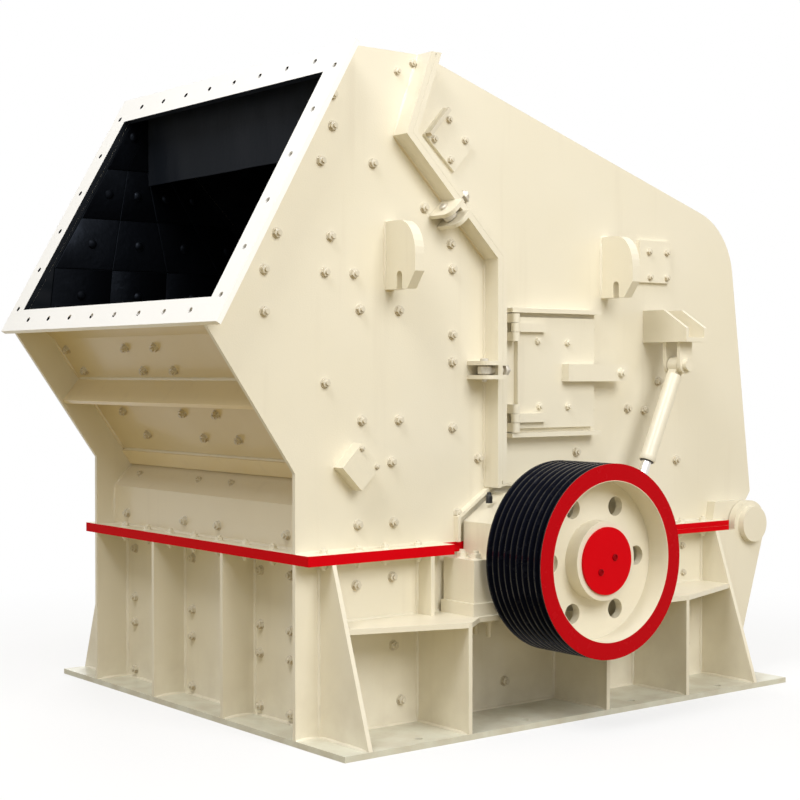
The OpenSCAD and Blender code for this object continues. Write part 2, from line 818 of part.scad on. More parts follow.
module under_hopper_wall() {
    low = [hopper_wall_x, upper_low];
    ledge = [hopper_wall_x, kink_z - hopper_ledge];
    foot = at_height(wall_start, lean_dir, kink_z - hopper_foot);
    reach = (feed_seat - wall_start) * feed_back / (lean_dir * feed_back);
    bend = wall_start + lean_dir * (reach - hopper_lip);
    top = feed_seat + feed_dir * (feed_leg_low - hopper_t / (feed_dir * wall_in));
    lip_in = right_of(bend, top);
    color(cream)
        plate_xz(-inner_w, 2 * inner_w)
            polygon([low, ledge, foot, bend, top, top + feed_dir * hopper_t / (feed_dir * lip_in),
                     mitre(foot, bend, top, hopper_t),
                     mitre(ledge, foot, bend, hopper_t),
                     mitre(low, ledge, foot, hopper_t),
                     low + [hopper_t, 0]]);
}

module hopper_cross_beams() {
    wall_seat = wall_start - wall_in * plate_fit;
    root = at_height(wall_seat, lean_dir, kink_z + beam_rise);
    run = -polar(beam_angle);
    under = [-run[1], run[0]] * beam_t;
    flat_top = at_height(wall_seat, lean_dir, kink_z + flat_rise);
    flat_low = flat_top - lean_dir * flat_w;
    color(cream) {
        plate_xz(-inner_w, 2 * inner_w)
            polygon([root, root + run * beam_w, root + run * beam_w + under,
                     root + lean_dir * (under * under) / (under * lean_dir)]);
        plate_xz(-inner_w, 2 * inner_w)
            polygon([flat_top, flat_low, flat_low - wall_in * flat_t, flat_top - wall_in * flat_t]);
    }
}

module front_roof() {
    color(cream)
        plate_xz(-half_w, body_w)
            polygon([at_height(feed_seat, feed_dir, roof_z - plate_t),
                     at_height(feed_seat, feed_dir, roof_z),
                     split_line(0, 0, roof_z)[3], split_line(0, 0, roof_z - plate_t)[3]]);
}

// The flange along one side of the split line, between the offsets t0 and t1.
module split_leg(t0, t1, z0) {
    plate_xz(half_w, joint_half_w - half_w)
        polygon(concat(split_line(t0, z0, roof_z), reversed(split_line(t1, z0, roof_z))));
}

module split_bar(t0, t1, z0, z1) {
    plate_xz(-half_w, body_w)
        polygon([split_line(t0, 0, z0)[3], split_line(t0, 0, z1)[3],
                 split_line(t1, 0, z1)[3], split_line(t1, 0, z0)[3]]);
}

module front_split_flange() {
    color(cream) {
        both_sides() {
            split_leg(0, split_mid, split_low_z - arch_t);
            arch_bar()
                translate([front_x, 0])
                    square([split_x + split_mid - front_x, roof_z]);
        }
        split_bar(0, split_mid, roof_z - plate_t, roof_z);
    }
}

module rear_split_flange() {
    color(cream)
        difference() {
            both_sides() {
                split_leg(split_rear, split_rear + split_t, split_low_z);
                arch_bar()
                    translate([split_x + split_rear, tip_low])
                        square([joint_rear_x - split_x, roof_z]);
            }
            both_sides()
                for (c = clamps)
                    at_clamp(c)
                        box([-1, -slot_w / 2, half_w + joint_reach / 4],
                            [split_rear + split_t + 1, slot_w / 2, joint_half_w + 1]);
        }
}

// Swing-bolt clamps: a point on the front face of the split flange, and the slope of the flange there.
slope_out = right_of(split_turn, split_top);
clamps = [[[split_x, clamp_z], 0],
          [split_turn + unit(split_top - split_turn) * clamp_rise, atan2(slope_out[1], slope_out[0])]];

// Turns a frame so that X runs through the flange, Y along it in the side plane, Z outwards.
module at_clamp(c) {
    translate([c[0][0], 0, c[0][1]])
        rotate([0, -c[1], 0])
            rotate([-90, 0, 0])
                mirror([0, 1, 0])
                    children();
}

// The outline of a clamp lug: [distance in front of the flange, distance from the side plate].
lug_outline = concat([[-plate_fit, plate_fit], [-clamp_len, plate_fit]],
                     arc([-clamp_len / 2, joint_reach], clamp_len / 2, 180, 90, 6),
                     [[-plate_fit, joint_reach + clamp_len / 2]]);

module clamp_lugs() {
    color(cream)
        both_sides()
            for (c = clamps, s = [-1, 1])
                at_clamp(c)
                    translate([0, s * clamp_gap / 2 + (s < 0 ? -clamp_t : 0), half_w])
                        rotate([90, 0, 0])
                            mirror([0, 0, 1])
                                linear_extrude(clamp_t)
                                    polygon(lug_outline);
}

module feed_curtain() {
    x = feed_low_x + feed_len * feed_dir[0] + curtain_gap;
    color(dark)
        box([x, -inner_w + apron_gap, roof_z - plate_t - curtain_len],
            [x + curtain_t, inner_w - apron_gap, roof_z - plate_t]);
}

// A lifting hook: a thick plate with a rounded outer edge and a slot that opens downwards.
module lifting_lug(x) {
    crown = [lug_reach - lug_slot_y, lug_h / 2];
    middle = [half_w + lug_slot_y, lug_z + lug_h / 2];
    plate_yz(x, lug_t)
        difference() {
            polygon(concat([[half_w, lug_z], [half_w, lug_z + lug_h]],
                           [for (i = [0 : 8])
                               middle + [crown[0] * sin(i * 90 / 8), crown[1] * cos(i * 90 / 8)]],
                           [middle + [crown[0], -crown[1] / 2], middle + [crown[0] / 2, -crown[1]]]));
            translate([middle[0] - lug_slot_w / 2, lug_z - 1])
                square([lug_slot_w, lug_slot_h - lug_slot_w / 2 + 1]);
            translate([middle[0], lug_z + lug_slot_h - lug_slot_w / 2])
                circle(r = lug_slot_w / 2);
        }
}

module front_lifting_lugs() {
    color(cream)
        both_sides()
            lifting_lug(lug_front_x);
}

module rear_lifting_lugs() {
    color(cream)
        both_sides()
            lifting_lug(lug_rear_x);
}

module inspection_boxes() {
    color(cream)
        both_sides()
            translate([front_x + box_recess, half_w, box_z])
                rotate([0, 45, 0])
                    translate([-box_side / 2, 0, -box_side / 2])
                        cube([box_side, box_depth, box_side]);
}

// A pair of ears round a cylinder's eye at x, z, reaching to the height z_root.
module cylinder_ears(x, z, z_root) {
    for (s = [-1, 1]) {
        y = cyl_y + s * (eye_w / 2 + eye_gap) - (s < 0 ? cyl_ear_t : 0);
        plate_xz(y, cyl_ear_t)
            translate([x - cyl_ear_r, min(z, z_root)])
                square([2 * cyl_ear_r, abs(z - z_root)]);
        rod_y(x, z, cyl_ear_r, y, y + cyl_ear_t);
    }
}

ear_in = cyl_y - eye_w / 2 - eye_gap - cyl_ear_t;
ear_out = cyl_y + eye_w / 2 + eye_gap + cyl_ear_t;

module cylinder_pin(x, z) {
    rod_y(x, z, cyl_pin_r, ear_in, ear_out + pin_head[1]);
    rod_y(x, z, cyl_pin_r + pin_head[0], ear_out, ear_out + pin_head[1]);
}

module cylinder_feet() {
    color(cream)
        both_sides() {
            cylinder_ears(cyl_low_x, cyl_low_z, shelf_z);
            cylinder_pin(cyl_low_x, cyl_low_z);
            box([cyl_low_x - cyl_ear_r, ear_in, shelf_z],
                [cyl_low_x + cyl_ear_r + foot_plate_t, ear_out, shelf_z + foot_plate_t]);
        }
}

module cylinder_brackets() {
    reach = ear_out + bracket_reach;
    x0 = cyl_top_x - bracket_lead;
    z0 = cyl_top_z + bracket_rise;
    z1 = z0 + bracket_t;
    color(cream)
        both_sides() {
            box([x0, half_w, z0], [x0 + bracket_len, reach, z1]);
            for (x = [x0, x0 + bracket_len - bracket_gusset_t])
                plate_yz(x, bracket_gusset_t)
                    polygon([[half_w, z1], [half_w, z1 + bracket_gusset_h],
                             [cyl_y - eye_w / 2, z1 + bracket_gusset_h],
                             [reach, z1 + bracket_gusset_h / 3], [reach, z1]]);
            cylinder_ears(cyl_top_x, cyl_top_z, z0);
            cylinder_pin(cyl_top_x, cyl_top_z);
        }
}

module behind_split(t) {
    far_x = rear_low[0] + overrun;
    polygon(concat(split_line(t, tip_low, roof_z + plate_t), [[far_x, roof_z + plate_t], [far_x, tip_low]]));
}

module rear_side_plate() {
    difference() {
        plate_xz(inner_w, plate_t)
            intersection() {
                polygon(rear_outline(plate_t));
                behind_split(split_rear);
            }
        rod_y(shaft_x, shaft_z, shaft_hole_r, inner_w - 1, half_w + 1);
        door_opening(inner_w - 1, half_w + 1);
    }
}

module rear_side_plate_near() {
    color(cream)
        mirror([0, 1, 0])
            rear_side_plate();
}

module rear_side_plate_far() {
    color(cream)
        rear_side_plate();
}

module rear_shell() {
    color(cream)
        plate_xz(-half_w, body_w)
            intersection() {
                difference() {
                    polygon(rear_outline(0));
                    polygon(rear_outline(plate_t));
                }
                behind_split(split_rear + split_t);
            }
}

module rear_hinge_ears() {
    x0 = joint_rear_x - tip_ear_reach;
    x1 = joint_rear_x + tip_ear_run;
    color(cream)
        both_sides()
            difference() {
                union() {
                    plate_xz(half_w, tip_ear_t)
                        polygon([[x0, tip_low], [x0 + tip_ear_run, joint_z + hinge_ear_r],
                                 [hinge_x, joint_z + hinge_ear_r],
                                 [hinge_x, joint_z], [x1, joint_z], [x1, tip_low]]);
                    rod_y(hinge_x, joint_z, hinge_ear_r, half_w, half_w + tip_ear_t);
                }
                rod_y(hinge_x, joint_z, hinge_pin_r + run_fit, half_w - 1, half_w + tip_ear_t + 1);
            }
}

door_hinge_x = door_frame_x + door_hinge_inset;
door_x = door_hinge_x + door_hinge_gap;
door_y = half_w + door_frame_t;
door_out = door_y + door_t;
door_hinge_y = door_out + door_hinge_out;
door_w = door_frame_x + door_frame_w - door_margin - door_x;
door_mid_x = door_frame_x + door_frame_w / 2;
door_mid_z = door_frame_z + door_frame_h / 2;

// The opening behind the door, between the heights y0 and y1 off the middle plane.
module door_opening(y0, y1) {
    box([door_mid_x - door_hole / 2, y0, door_mid_z - door_hole / 2],
        [door_mid_x + door_hole / 2, y1, door_mid_z + door_hole / 2]);
}

module door_frames() {
    color(cream)
        both_sides() {
            difference() {
                box([door_frame_x, half_w, door_frame_z],
                    [door_frame_x + door_frame_w, door_y, door_frame_z + door_frame_h]);
                door_opening(half_w - 1, door_y + 1);
            }
            for (z = [door_frame_z, door_frame_z + door_frame_h - ledge_h])
                box([door_hinge_x - knuckle_r, door_y, z],
                    [door_frame_x + door_frame_w, door_out + ledge_h, z + ledge_h]);
            for (s = [-1, 1], k = [-1.5 * knuckle_h - knuckle_gap, knuckle_h / 2 + knuckle_gap])
                translate([0, 0, door_mid_z + s * door_hinge_z + k]) {
                    box([door_hinge_x - knuckle_r, door_y, 0],
                        [door_hinge_x + knuckle_r, door_hinge_y, knuckle_h]);
                    translate([door_hinge_x, door_hinge_y, 0])
                        cylinder(r = knuckle_r, h = knuckle_h);
                }
            for (s = [-1, 1])
                translate([door_hinge_x, door_hinge_y, door_mid_z + s * door_hinge_z - 1.5 * knuckle_h])
                    cylinder(r = door_pin_r, h = 3 * knuckle_h);
        }
}

module access_door() {
    difference() {
        union() {
            box([door_x, door_y, door_mid_z - door_h / 2],
                [door_x + door_w, door_out, door_mid_z + door_h / 2]);
            for (s = [-1, 1])
                translate([0, 0, door_mid_z + s * door_hinge_z - knuckle_h / 2]) {
                    box([door_hinge_x, door_out, 0],
                        [door_hinge_x + strap_len, door_out + strap_t, knuckle_h]);
                    translate([door_hinge_x, door_hinge_y, 0])
                        cylinder(r = knuckle_r, h = knuckle_h);
                }
            box([door_x + hasp_start, door_out, door_mid_z - hasp_h / 2],
                [door_x + hasp_start + hasp_len, door_out + hasp_t, door_mid_z + hasp_h / 2]);
        }
        for (s = [-1, 1])
            translate([door_hinge_x, door_hinge_y, door_mid_z + s * door_hinge_z - knuckle_h])
                cylinder(r = door_pin_r + run_fit, h = 2 * knuckle_h);
    }
}

module access_door_near() {
    color(cream)
        mirror([0, 1, 0])
            access_door();
}

module access_door_far() {
    color(cream)
        access_door();
}

module rear_cover_plates() {
    color(cream)
        both_sides() {
            translate([cover_x, half_w, cover_z])
                rotate([0, cover_angle, 0])
                    translate([-cover_size[0] / 2, 0, -cover_size[1] / 2])
                        cube([cover_size[0], cover_t, cover_size[1]]);
            box([port_x, half_w, port_z], [port_x + port_size[0], half_w + port_t, port_z + port_size[1]]);
        }
}

// An impact apron: a thick bent plate hung from a round bar between the side plates.
module apron(pivot, bend, edge) {
    half_t = [apron_t / 2, 0];
    plate_xz(-inner_w + apron_gap, 2 * (inner_w - apron_gap))
        polygon([pivot - half_t, bend - half_t, edge - half_t,
                 edge + half_t + [0, apron_gap], bend + half_t, pivot + half_t]);
    rod_y(pivot[0], pivot[1], apron_bar_r, -inner_w, inner_w);
}

module impact_aprons() {
    from_panel = [rear_panel_x, 0];
    from_roof = [0, roof_z];
    color(steel) {
        apron(front_apron_pivot + from_roof, front_apron_bend, front_apron_edge);
        apron(rear_apron_pivot + from_panel + from_roof,
              rear_apron_bend + from_panel,
              rear_apron_edge + from_panel);
    }
}

module rotor_shaft() {
    sleeve_end = (rotor_len + rotor_gap) / 2;
    color(steel) {
        rod_y(shaft_x, shaft_z, shaft_r, -pulley_out + hub_depth, bearing_out + foot_ledge);
        difference() {
            rod_y(shaft_x, shaft_z, shaft_r + sleeve_t, -sleeve_end, sleeve_end);
            rod_y(shaft_x, shaft_z, shaft_r + run_fit, -inner_w, inner_w);
        }
    }
}

module bar_slots(r0, r1, grow) {
    for (a = [45 : 90 : 315])
        translate([shaft_x, 0, shaft_z])
            rotate([0, a, 0])
                box([r0, -rotor_len / 2 - grow, -bar_t / 2], [r1, rotor_len / 2 + grow, bar_t / 2]);
}

module rotor_discs() {
    pitch = (rotor_len - disc_t) / (disc_count - 1);
    first_y = -rotor_len / 2;
    color(cream)
        difference() {
            for (i = [0 : disc_count - 1])
                rod_y(shaft_x, shaft_z, disc_r, first_y + i * pitch, first_y + i * pitch + disc_t);
            rod_y(shaft_x, shaft_z, shaft_r + sleeve_t, -inner_w, inner_w);
            bar_slots(bar_inner_r, rotor_r, 1);
        }
}

module blow_bars() {
    color(steel)
        bar_slots(bar_inner_r, rotor_r, 0);
}

module pulley() {
    pitch = (pulley_w - groove_land) / groove_count;
    edge = groove_land;
    rim = concat([[pulley_r - rim_t, 0], [pulley_r, 0]],
                 [for (i = [0 : groove_count - 1], p = [[0, edge], [groove_d, edge + groove_side],
                                                        [groove_d, pitch - groove_side], [0, pitch]])
                  [pulley_r - p[0], i * pitch + p[1]]],
                 [[pulley_r, pulley_w], [pulley_r - rim_t, pulley_w]]);
    web_low = pulley_w - web_depth - web_t;
    color(dark)
        translate([shaft_x, -pulley_in, shaft_z])
            rotate([90, 0, 0])
                difference() {
                    union() {
                        rotate_extrude($fn = 96)
                            polygon(rim);
                        translate([0, 0, web_low])
                            cylinder(r = pulley_r - rim_t + 1, h = web_t, $fn = 96);
                        translate([0, 0, hub_depth])
                            cylinder(r = hub_r, h = pulley_w - 2 * hub_depth);
                    }
                    translate([0, 0, -1])
                        cylinder(r = shaft_r, h = pulley_w);
                    for (a = [0 : 60 : 300])
                        rotate([0, 0, a])
                            translate([web_hole_circle, 0, web_low - 1])
                                cylinder(r = web_hole_r, h = web_t + 2);
                }
}

module hub_cap() {
    color(red)
        rod_y(shaft_x, shaft_z, hub_cap_r, -pulley_out + hub_depth - hub_cap_t, -pulley_out + hub_depth);
}

// Turns a frame so that its Z runs from the upper pin of a cylinder to the lower one.
cyl_vec = [cyl_low_x - cyl_top_x, cyl_low_z - cyl_top_z];
module along_cylinder() {
    translate([cyl_top_x, cyl_y, cyl_top_z])
        rotate([0, atan2(cyl_vec[0], cyl_vec[1]), 0])
            children();
}

module cylinder_barrel() {
    difference() {
        union() {
            along_cylinder() {
                translate([0, 0, neck_len])
                    cylinder(r = barrel_r, h = barrel_len - neck_len);
                translate([-neck_w / 2, -neck_w / 2, 0])
                    cube([neck_w, neck_w, neck_len + barrel_end_t / 2]);
            }
            rod_y(cyl_top_x, cyl_top_z, eye_r, cyl_y - eye_w / 2, cyl_y + eye_w / 2);
        }
        rod_y(cyl_top_x, cyl_top_z, cyl_pin_r + run_fit, cyl_y - eye_w, cyl_y + eye_w);
        along_cylinder()
            translate([0, 0, neck_len + barrel_end_t])
                cylinder(r = rod_r + run_fit, h = barrel_len);
    }
}

module cylinder_rod() {
    span = norm(cyl_vec);
    rod_start = neck_len + barrel_end_t + rod_gap;
    difference() {
        union() {
            along_cylinder()
                translate([0, 0, rod_start])
                    cylinder(r = rod_r, h = span - rod_start);
            rod_y(cyl_low_x, cyl_low_z, eye_r, cyl_y - eye_w / 2, cyl_y + eye_w / 2);
        }
        rod_y(cyl_low_x, cyl_low_z, cyl_pin_r + low_eye_fit, cyl_y - eye_w, cyl_y + eye_w);
    }
}

module cylinder_barrel_near() {
    color(cream)
        mirror([0, 1, 0])
            cylinder_barrel();
}

module cylinder_barrel_far() {
    color(cream)
        cylinder_barrel();
}

module cylinder_rod_near() {
    color(steel)
        mirror([0, 1, 0])
            cylinder_rod();
}

module cylinder_rod_far() {
    color(steel)
        cylinder_rod();
}

base_flange();
lower_side_plate_near();
lower_side_plate_far();
lower_end_panels();
lower_frame_ribs();
bearing_shelves();
lower_joint_flange();
lower_hinge_ears();
bearing_housing_near();
bearing_housing_far();
front_side_plate_near();
front_side_plate_far();
front_joint_flange();
feed_flange();
under_hopper_wall();
hopper_cross_beams();
front_roof();
front_split_flange();
front_lifting_lugs();
inspection_boxes();
clamp_lugs();
feed_curtain();
cylinder_feet();
rear_side_plate_near();
rear_side_plate_far();
rear_shell();
rear_split_flange();
rear_joint_flange();
door_frames();
rear_lifting_lugs();
rear_cover_plates();
cylinder_brackets();
rear_hinge_ears();
impact_aprons();
rotor_shaft();
rotor_discs();
blow_bars();
pulley();
hub_cap();
access_door_near();
access_door_far();
cylinder_barrel_near();
cylinder_barrel_far();
cylinder_rod_near();
cylinder_rod_far();
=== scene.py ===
"""Horizontal shaft impact crusher: the finishes, fasteners, welds, liners and small fittings on its
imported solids."""
import math

import bpy
import numpy as np
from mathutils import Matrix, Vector


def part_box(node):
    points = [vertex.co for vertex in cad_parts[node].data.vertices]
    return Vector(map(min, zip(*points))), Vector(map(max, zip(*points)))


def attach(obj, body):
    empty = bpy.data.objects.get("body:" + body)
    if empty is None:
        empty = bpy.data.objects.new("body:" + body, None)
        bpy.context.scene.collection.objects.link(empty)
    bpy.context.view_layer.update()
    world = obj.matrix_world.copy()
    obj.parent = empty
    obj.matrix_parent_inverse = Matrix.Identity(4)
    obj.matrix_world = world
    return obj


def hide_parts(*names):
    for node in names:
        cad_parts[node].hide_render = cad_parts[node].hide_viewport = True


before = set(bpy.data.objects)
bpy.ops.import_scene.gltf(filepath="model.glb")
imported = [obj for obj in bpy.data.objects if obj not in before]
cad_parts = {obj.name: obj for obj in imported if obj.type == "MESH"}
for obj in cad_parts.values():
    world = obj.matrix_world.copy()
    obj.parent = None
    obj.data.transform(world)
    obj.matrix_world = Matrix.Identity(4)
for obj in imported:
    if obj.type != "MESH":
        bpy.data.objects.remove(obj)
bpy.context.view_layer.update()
scene = bpy.context.scene
scene.view_settings.view_transform = "Standard"

# ---------------------------------------------------------------- camera and lamps
# A long lens at chest height off the feed corner of the drive side. The key lamp stands high on the
# drive side, and weaker ones light the feed end and the back.

azimuth = math.radians(-38.13)
pitch = math.radians(0.96)
sight = Vector((-math.sin(azimuth) * math.cos(pitch), math.cos(azimuth) * math.cos(pitch), -math.sin(pitch)))
camera = bpy.data.objects.new("camera", bpy.data.cameras.new("camera"))
camera.data.lens = 72.9
camera.data.sensor_width = 36.0
camera.location = (-5.122, -6.365, 1.542)
camera.rotation_euler = sight.to_track_quat("-Z", "Y").to_euler()
scene.collection.objects.link(camera)
scene.camera = camera


def soft_lamp(name, place, side, power):
    """A square area lamp of that side, in metres, which faces the middle of the machine."""
    lamp = bpy.data.lights.new(name, "AREA")
    lamp.size, lamp.energy = side, power
    stand = bpy.data.objects.new(name, lamp)
    stand.location = place
    stand.rotation_euler = (Vector((0.0, 0.0, 1.3)) - Vector(place)).to_track_quat("-Z", "Y").to_euler()
    scene.collection.objects.link(stand)


soft_lamp("key_lamp", (-0.3, -11.0, 8.2), 6.5, 960)
soft_lamp("feed_lamp", (-5.5, -2.5, 8.5), 3.5, 420)
soft_lamp("back_lamp", (5.0, 8.5, 6.0), 6.0, 480)

# ---------------------------------------------------------------- lower frame: plates and ribs
# The foundation frame is welded from steel plate: a drilled base flange, side plates and end panels,
# ribs that lean out to the base, and a shelf a side for the bearings. All of it is sprayed cream.


class Field:
    """A value that varies over a surface: one output socket. The operators add Math nodes."""

    def __init__(self, coat, socket):
        self.coat, self.socket = coat, socket

    def math(self, operation, *others, clamp=False):
        values = dict(enumerate((self,) + others))
        return self.coat.add("ShaderNodeMath", {"operation": operation, "use_clamp": clamp}, values)

    def __add__(self, other):
        return self.math("ADD", other)

    def __sub__(self, other):
        return self.math("SUBTRACT", other)

    def __rsub__(self, other):
        return self.math("MULTIPLY_ADD", -1.0, other)

    def __mul__(self, other):
        return self.math("MULTIPLY", other)

    __radd__, __rmul__ = __add__, __mul__

    def above(self, level, width):
        """0 well below the level and 1 well above it, with a straight ramp of that width between."""
        return self.math("MULTIPLY_ADD", 1 / width, 0.5 - level / width, clamp=True)


class Coat:
    """One finish of the machine: a material with its shader."""

    def __init__(self, name, roughness=0.4, metallic=0.0, clear=0.0, shine=0.5):
        self.material = bpy.data.materials.new(name)
        self.material.use_nodes = True
        self.tree = self.material.node_tree
        self.shader = self.tree.nodes["Principled BSDF"]
        self.shader.inputs["Roughness"].default_value = roughness
        self.shader.inputs["Metallic"].default_value = metallic
        self.shader.inputs["Coat Weight"].default_value = clear
        self.shader.inputs["Coat Roughness"].default_value = 0.12
        self.shader.inputs["Specular IOR Level"].default_value = shine
        self.place = self.add("ShaderNodeTexCoord", {}, {}, out="Object")

    def add(self, kind, settings, values, out=0):
        """Makes a node of that kind, with its settings first and then its sockets' values or links, and
        returns one of its outputs."""
        node = self.tree.nodes.new(kind)
        for key, value in settings.items():
            setattr(node, key, value)
        for key, value in values.items():
            if isinstance(value, Field):
                self.tree.links.new(value.socket, node.inputs[key])
            else:
                node.inputs[key].default_value = value
        return Field(self, node.outputs[out])

    def noise(self, scale, detail=2.0, stretch=(1, 1, 1)):
        """Cloudy noise over the object's own coordinates, with so many lumps a metre."""
        spot = self.add("ShaderNodeVectorMath", {"operation": "MULTIPLY"}, {0: self.place, 1: stretch})
        return self.add("ShaderNodeTexNoise", {}, {"Vector": spot, "Scale": scale, "Detail": detail})

    def normal(self):
        """The way the surface faces."""
        return self.add("ShaderNodeTexCoord", {}, {}, out="Normal")

    def axis(self, letter, vector=None):
        """The part of a vector along X, Y or Z: of the object coordinates where none is given."""
        return self.add("ShaderNodeSeparateXYZ", {}, {0: vector or self.place}, out=letter)

    def dot(self, one, other):
        """The dot product of two vectors."""
        values = {0: one, 1: other}
        return self.add("ShaderNodeVectorMath", {"operation": "DOT_PRODUCT"}, values, out="Value")

    def tint(self, mask, under, over):
        """The colour under, covered by the colour over where the mask is 1."""
        values = {0: mask, 6: under, 7: over}
        return self.add("ShaderNodeMix", {"data_type": "RGBA"}, values, out=2)

    def beyond(self, direction, distance):
        """1 past the plane that stands across the direction at that distance from the origin."""
        return self.dot(self.place, direction).above(distance, 0.002)

    def facing(self, centre):
        """1 on the faces that look towards that point, such as the inner side of a wall round a chamber."""
        away = self.add("ShaderNodeVectorMath", {"operation": "SUBTRACT"}, {0: self.place, 1: centre})
        return 1 - self.dot(away, self.normal()).above(-0.02, 0.02)

    def below(self):
        """1 on the faces that look down."""
        return 1 - self.axis("Z", self.normal()).above(-0.3, 0.2)

    def finish(self, colour=None, roughness=None, metallic=None, relief=None, depth=0.001, clear=None):
        """Feeds the shader: relief is a height from 0 to 1 that stands for so many metres of bump."""
        fields = {"Base Color": colour, "Roughness": roughness, "Metallic": metallic, "Coat Weight": clear}
        for name, field in fields.items():
            if isinstance(field, Field):
                self.tree.links.new(field.socket, self.shader.inputs[name])
            elif field is not None:
                self.shader.inputs[name].default_value = field
        if relief is not None:
            bump = self.add("ShaderNodeBump", {}, {"Strength": 1.0, "Distance": depth, "Height": relief})
            self.tree.links.new(bump.socket, self.shader.inputs["Normal"])
        return self.material


cream = (0.83, 0.778, 0.640, 1)
cream_shade = (0.79, 0.73, 0.565, 1)
road_dust = (0.50, 0.42, 0.31, 1)
# Near-black iron and dust for the bare faces inside the chambers: painted shade, darker than bare iron is.
shaded_bare_iron = (0.006, 0.008, 0.011, 1)
shaded_liner_dust = (0.022, 0.024, 0.028, 1)


def enamel(name, colour, shade, chamber=None, rooms=((),), dusty=1.0, clear=0.25, shine=0.5, down_shade=None):
    """Sprayed enamel with a faint orange peel, paint clouds, dust low down, thin rain streaks, and a browner
    painted shade where it looks down. Faces that look towards the chamber's middle are bare iron with paler
    dusty patches, painted near-black for the shade inside, where they lie beyond every plane of one of its
    rooms."""
    coat = Coat(name, clear=clear, shine=shine)
    cloud = coat.noise(1.6, 3.0).above(0.55, 0.5)
    streak = coat.noise(1.0, 2.0, stretch=(14, 14, 0.9)).above(0.68, 0.16)
    low = 1 - coat.axis("Z").above(0.22, 0.42)
    grit = coat.noise(9.0, 5.0).above(0.52, 0.3)
    peel = coat.noise(160.0, 1.0)
    buckle = coat.noise(2.2, 1.0)
    base = coat.tint(cloud * 0.55, colour, shade)
    base = coat.tint(streak * (0.10 * dusty), base, road_dust)
    base = coat.tint(low * grit * (0.24 * dusty), base, road_dust)
    # Painted shade: faces that look down are tinted browner and darker.
    if down_shade is not None:
        base = coat.tint(coat.below() * (0.65 + cloud * 0.35), base, down_shade)
    rough = 0.36 + low * grit * 0.25 + cloud * 0.08
    metal, gloss = None, clear
    if chamber is not None:
        bare = 0.0
        for room in rooms:
            inside = coat.facing(chamber)
            for direction, distance in room:
                inside = inside * coat.beyond(direction, distance)
            bare = inside.math("MAXIMUM", bare)
        scour = coat.noise(6.0, 5.0, stretch=(1, 1, 3)).above(0.55, 0.35)
        # The bare inside faces are painted near-black for the shade in the chamber, with paler dusty patches.
        base = coat.tint(bare, base, coat.tint(scour * 0.6, shaded_bare_iron, shaded_liner_dust))
        rough = rough + bare * (0.25 + scour * 0.15)
        metal, gloss = bare * 0.85, (1 - bare) * clear
    return coat.finish(base, rough, metal, peel * 0.10 + buckle, depth=0.004, clear=gloss)


def repaint(material, *names):
    """Gives those CAD nodes the finish."""
    for name in names:
        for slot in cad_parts[name].material_slots:
            slot.material = material


def loft(rings):
    """A closed shell through closed rings, an array (rings, corners, 3). Each ring goes anticlockwise about
    the way the rings follow one another, so that faces point outwards. Both end rings are filled flat."""
    count, corners = rings.shape[:2]
    start = np.arange((count - 1) * corners).reshape(count - 1, corners)
    across = np.roll(start, -1, 1)
    walls = np.stack([start, across, across + corners, start + corners], -1).reshape(-1, 4)
    end = np.arange(corners)[None]
    return rings.reshape(-1, 3), [walls, end[:, ::-1], end + (count - 1) * corners]


def weld(start, end, one_way, other_way, leg=0.009):
    """A fillet bead: a quarter round between two faces that meet, given by the ways they run from the corner.
    Its leg swells and shrinks by two sines along the seam and tapers at both ends."""
    start, end, a, b = (np.array(v, float) for v in (start, end, one_way, other_way))
    run = end - start
    length = np.linalg.norm(run)
    if np.dot(np.cross(a, b), run) < 0:
        a, b = b, a
    along = np.linspace(0, 1, max(4, round(length / 0.035)))[:, None, None]
    size = leg * (1 + 0.10 * np.sin(along * length * 97) + 0.07 * np.sin(along * length * 211 + 1))
    size = size * np.minimum(np.minimum(along, 1 - along) * length / 0.03 + 0.3, 1)
    turn = np.linspace(0, math.pi / 2, 4)[:, None]
    ring = np.concatenate([[-0.15 * (a + b)], a * np.cos(turn) + b * np.sin(turn)])
    return loft(start + run * along + ring * size)


def piece(name, shells, material, body, sharp=35):
    """Joins closed shells, each its corners and blocks of faces, into one object that rides on that body."""
    counts = np.cumsum([0] + [len(corners) for corners, _ in shells])
    faces = [face for start, (_, blocks) in zip(counts, shells)
             for block in blocks for face in (block + start).tolist()]
    mesh = bpy.data.meshes.new(name)
    mesh.from_pydata(np.concatenate([corners for corners, _ in shells]).tolist(), [], faces)
    mesh.polygons.foreach_set("use_smooth", [True] * len(mesh.polygons))
    mesh.set_sharp_from_angle(angle=math.radians(sharp))
    mesh.materials.append(material)
    shape = bpy.data.objects.new(name, mesh)
    scene.collection.objects.link(shape)
    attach(shape, body)
    return shape


cream_enamel = enamel("cream_enamel", cream, cream_shade)
# Inner faces of the lower walls are bare iron painted near-black for the shade inside.
lower_wall = enamel("lower_wall", cream, cream_shade, chamber=(-0.02, 0.0, 0.45),
                    rooms=[[((1, 0, 0), -1.185)]])
repaint(enamel("base_enamel", (0.72, 0.715, 0.60, 1), (0.60, 0.595, 0.49, 1), dusty=1.8), "base_flange")
repaint(cream_enamel, "lower_frame_ribs", "bearing_shelves")
repaint(lower_wall, "lower_side_plate_near", "lower_side_plate_far", "lower_end_panels")

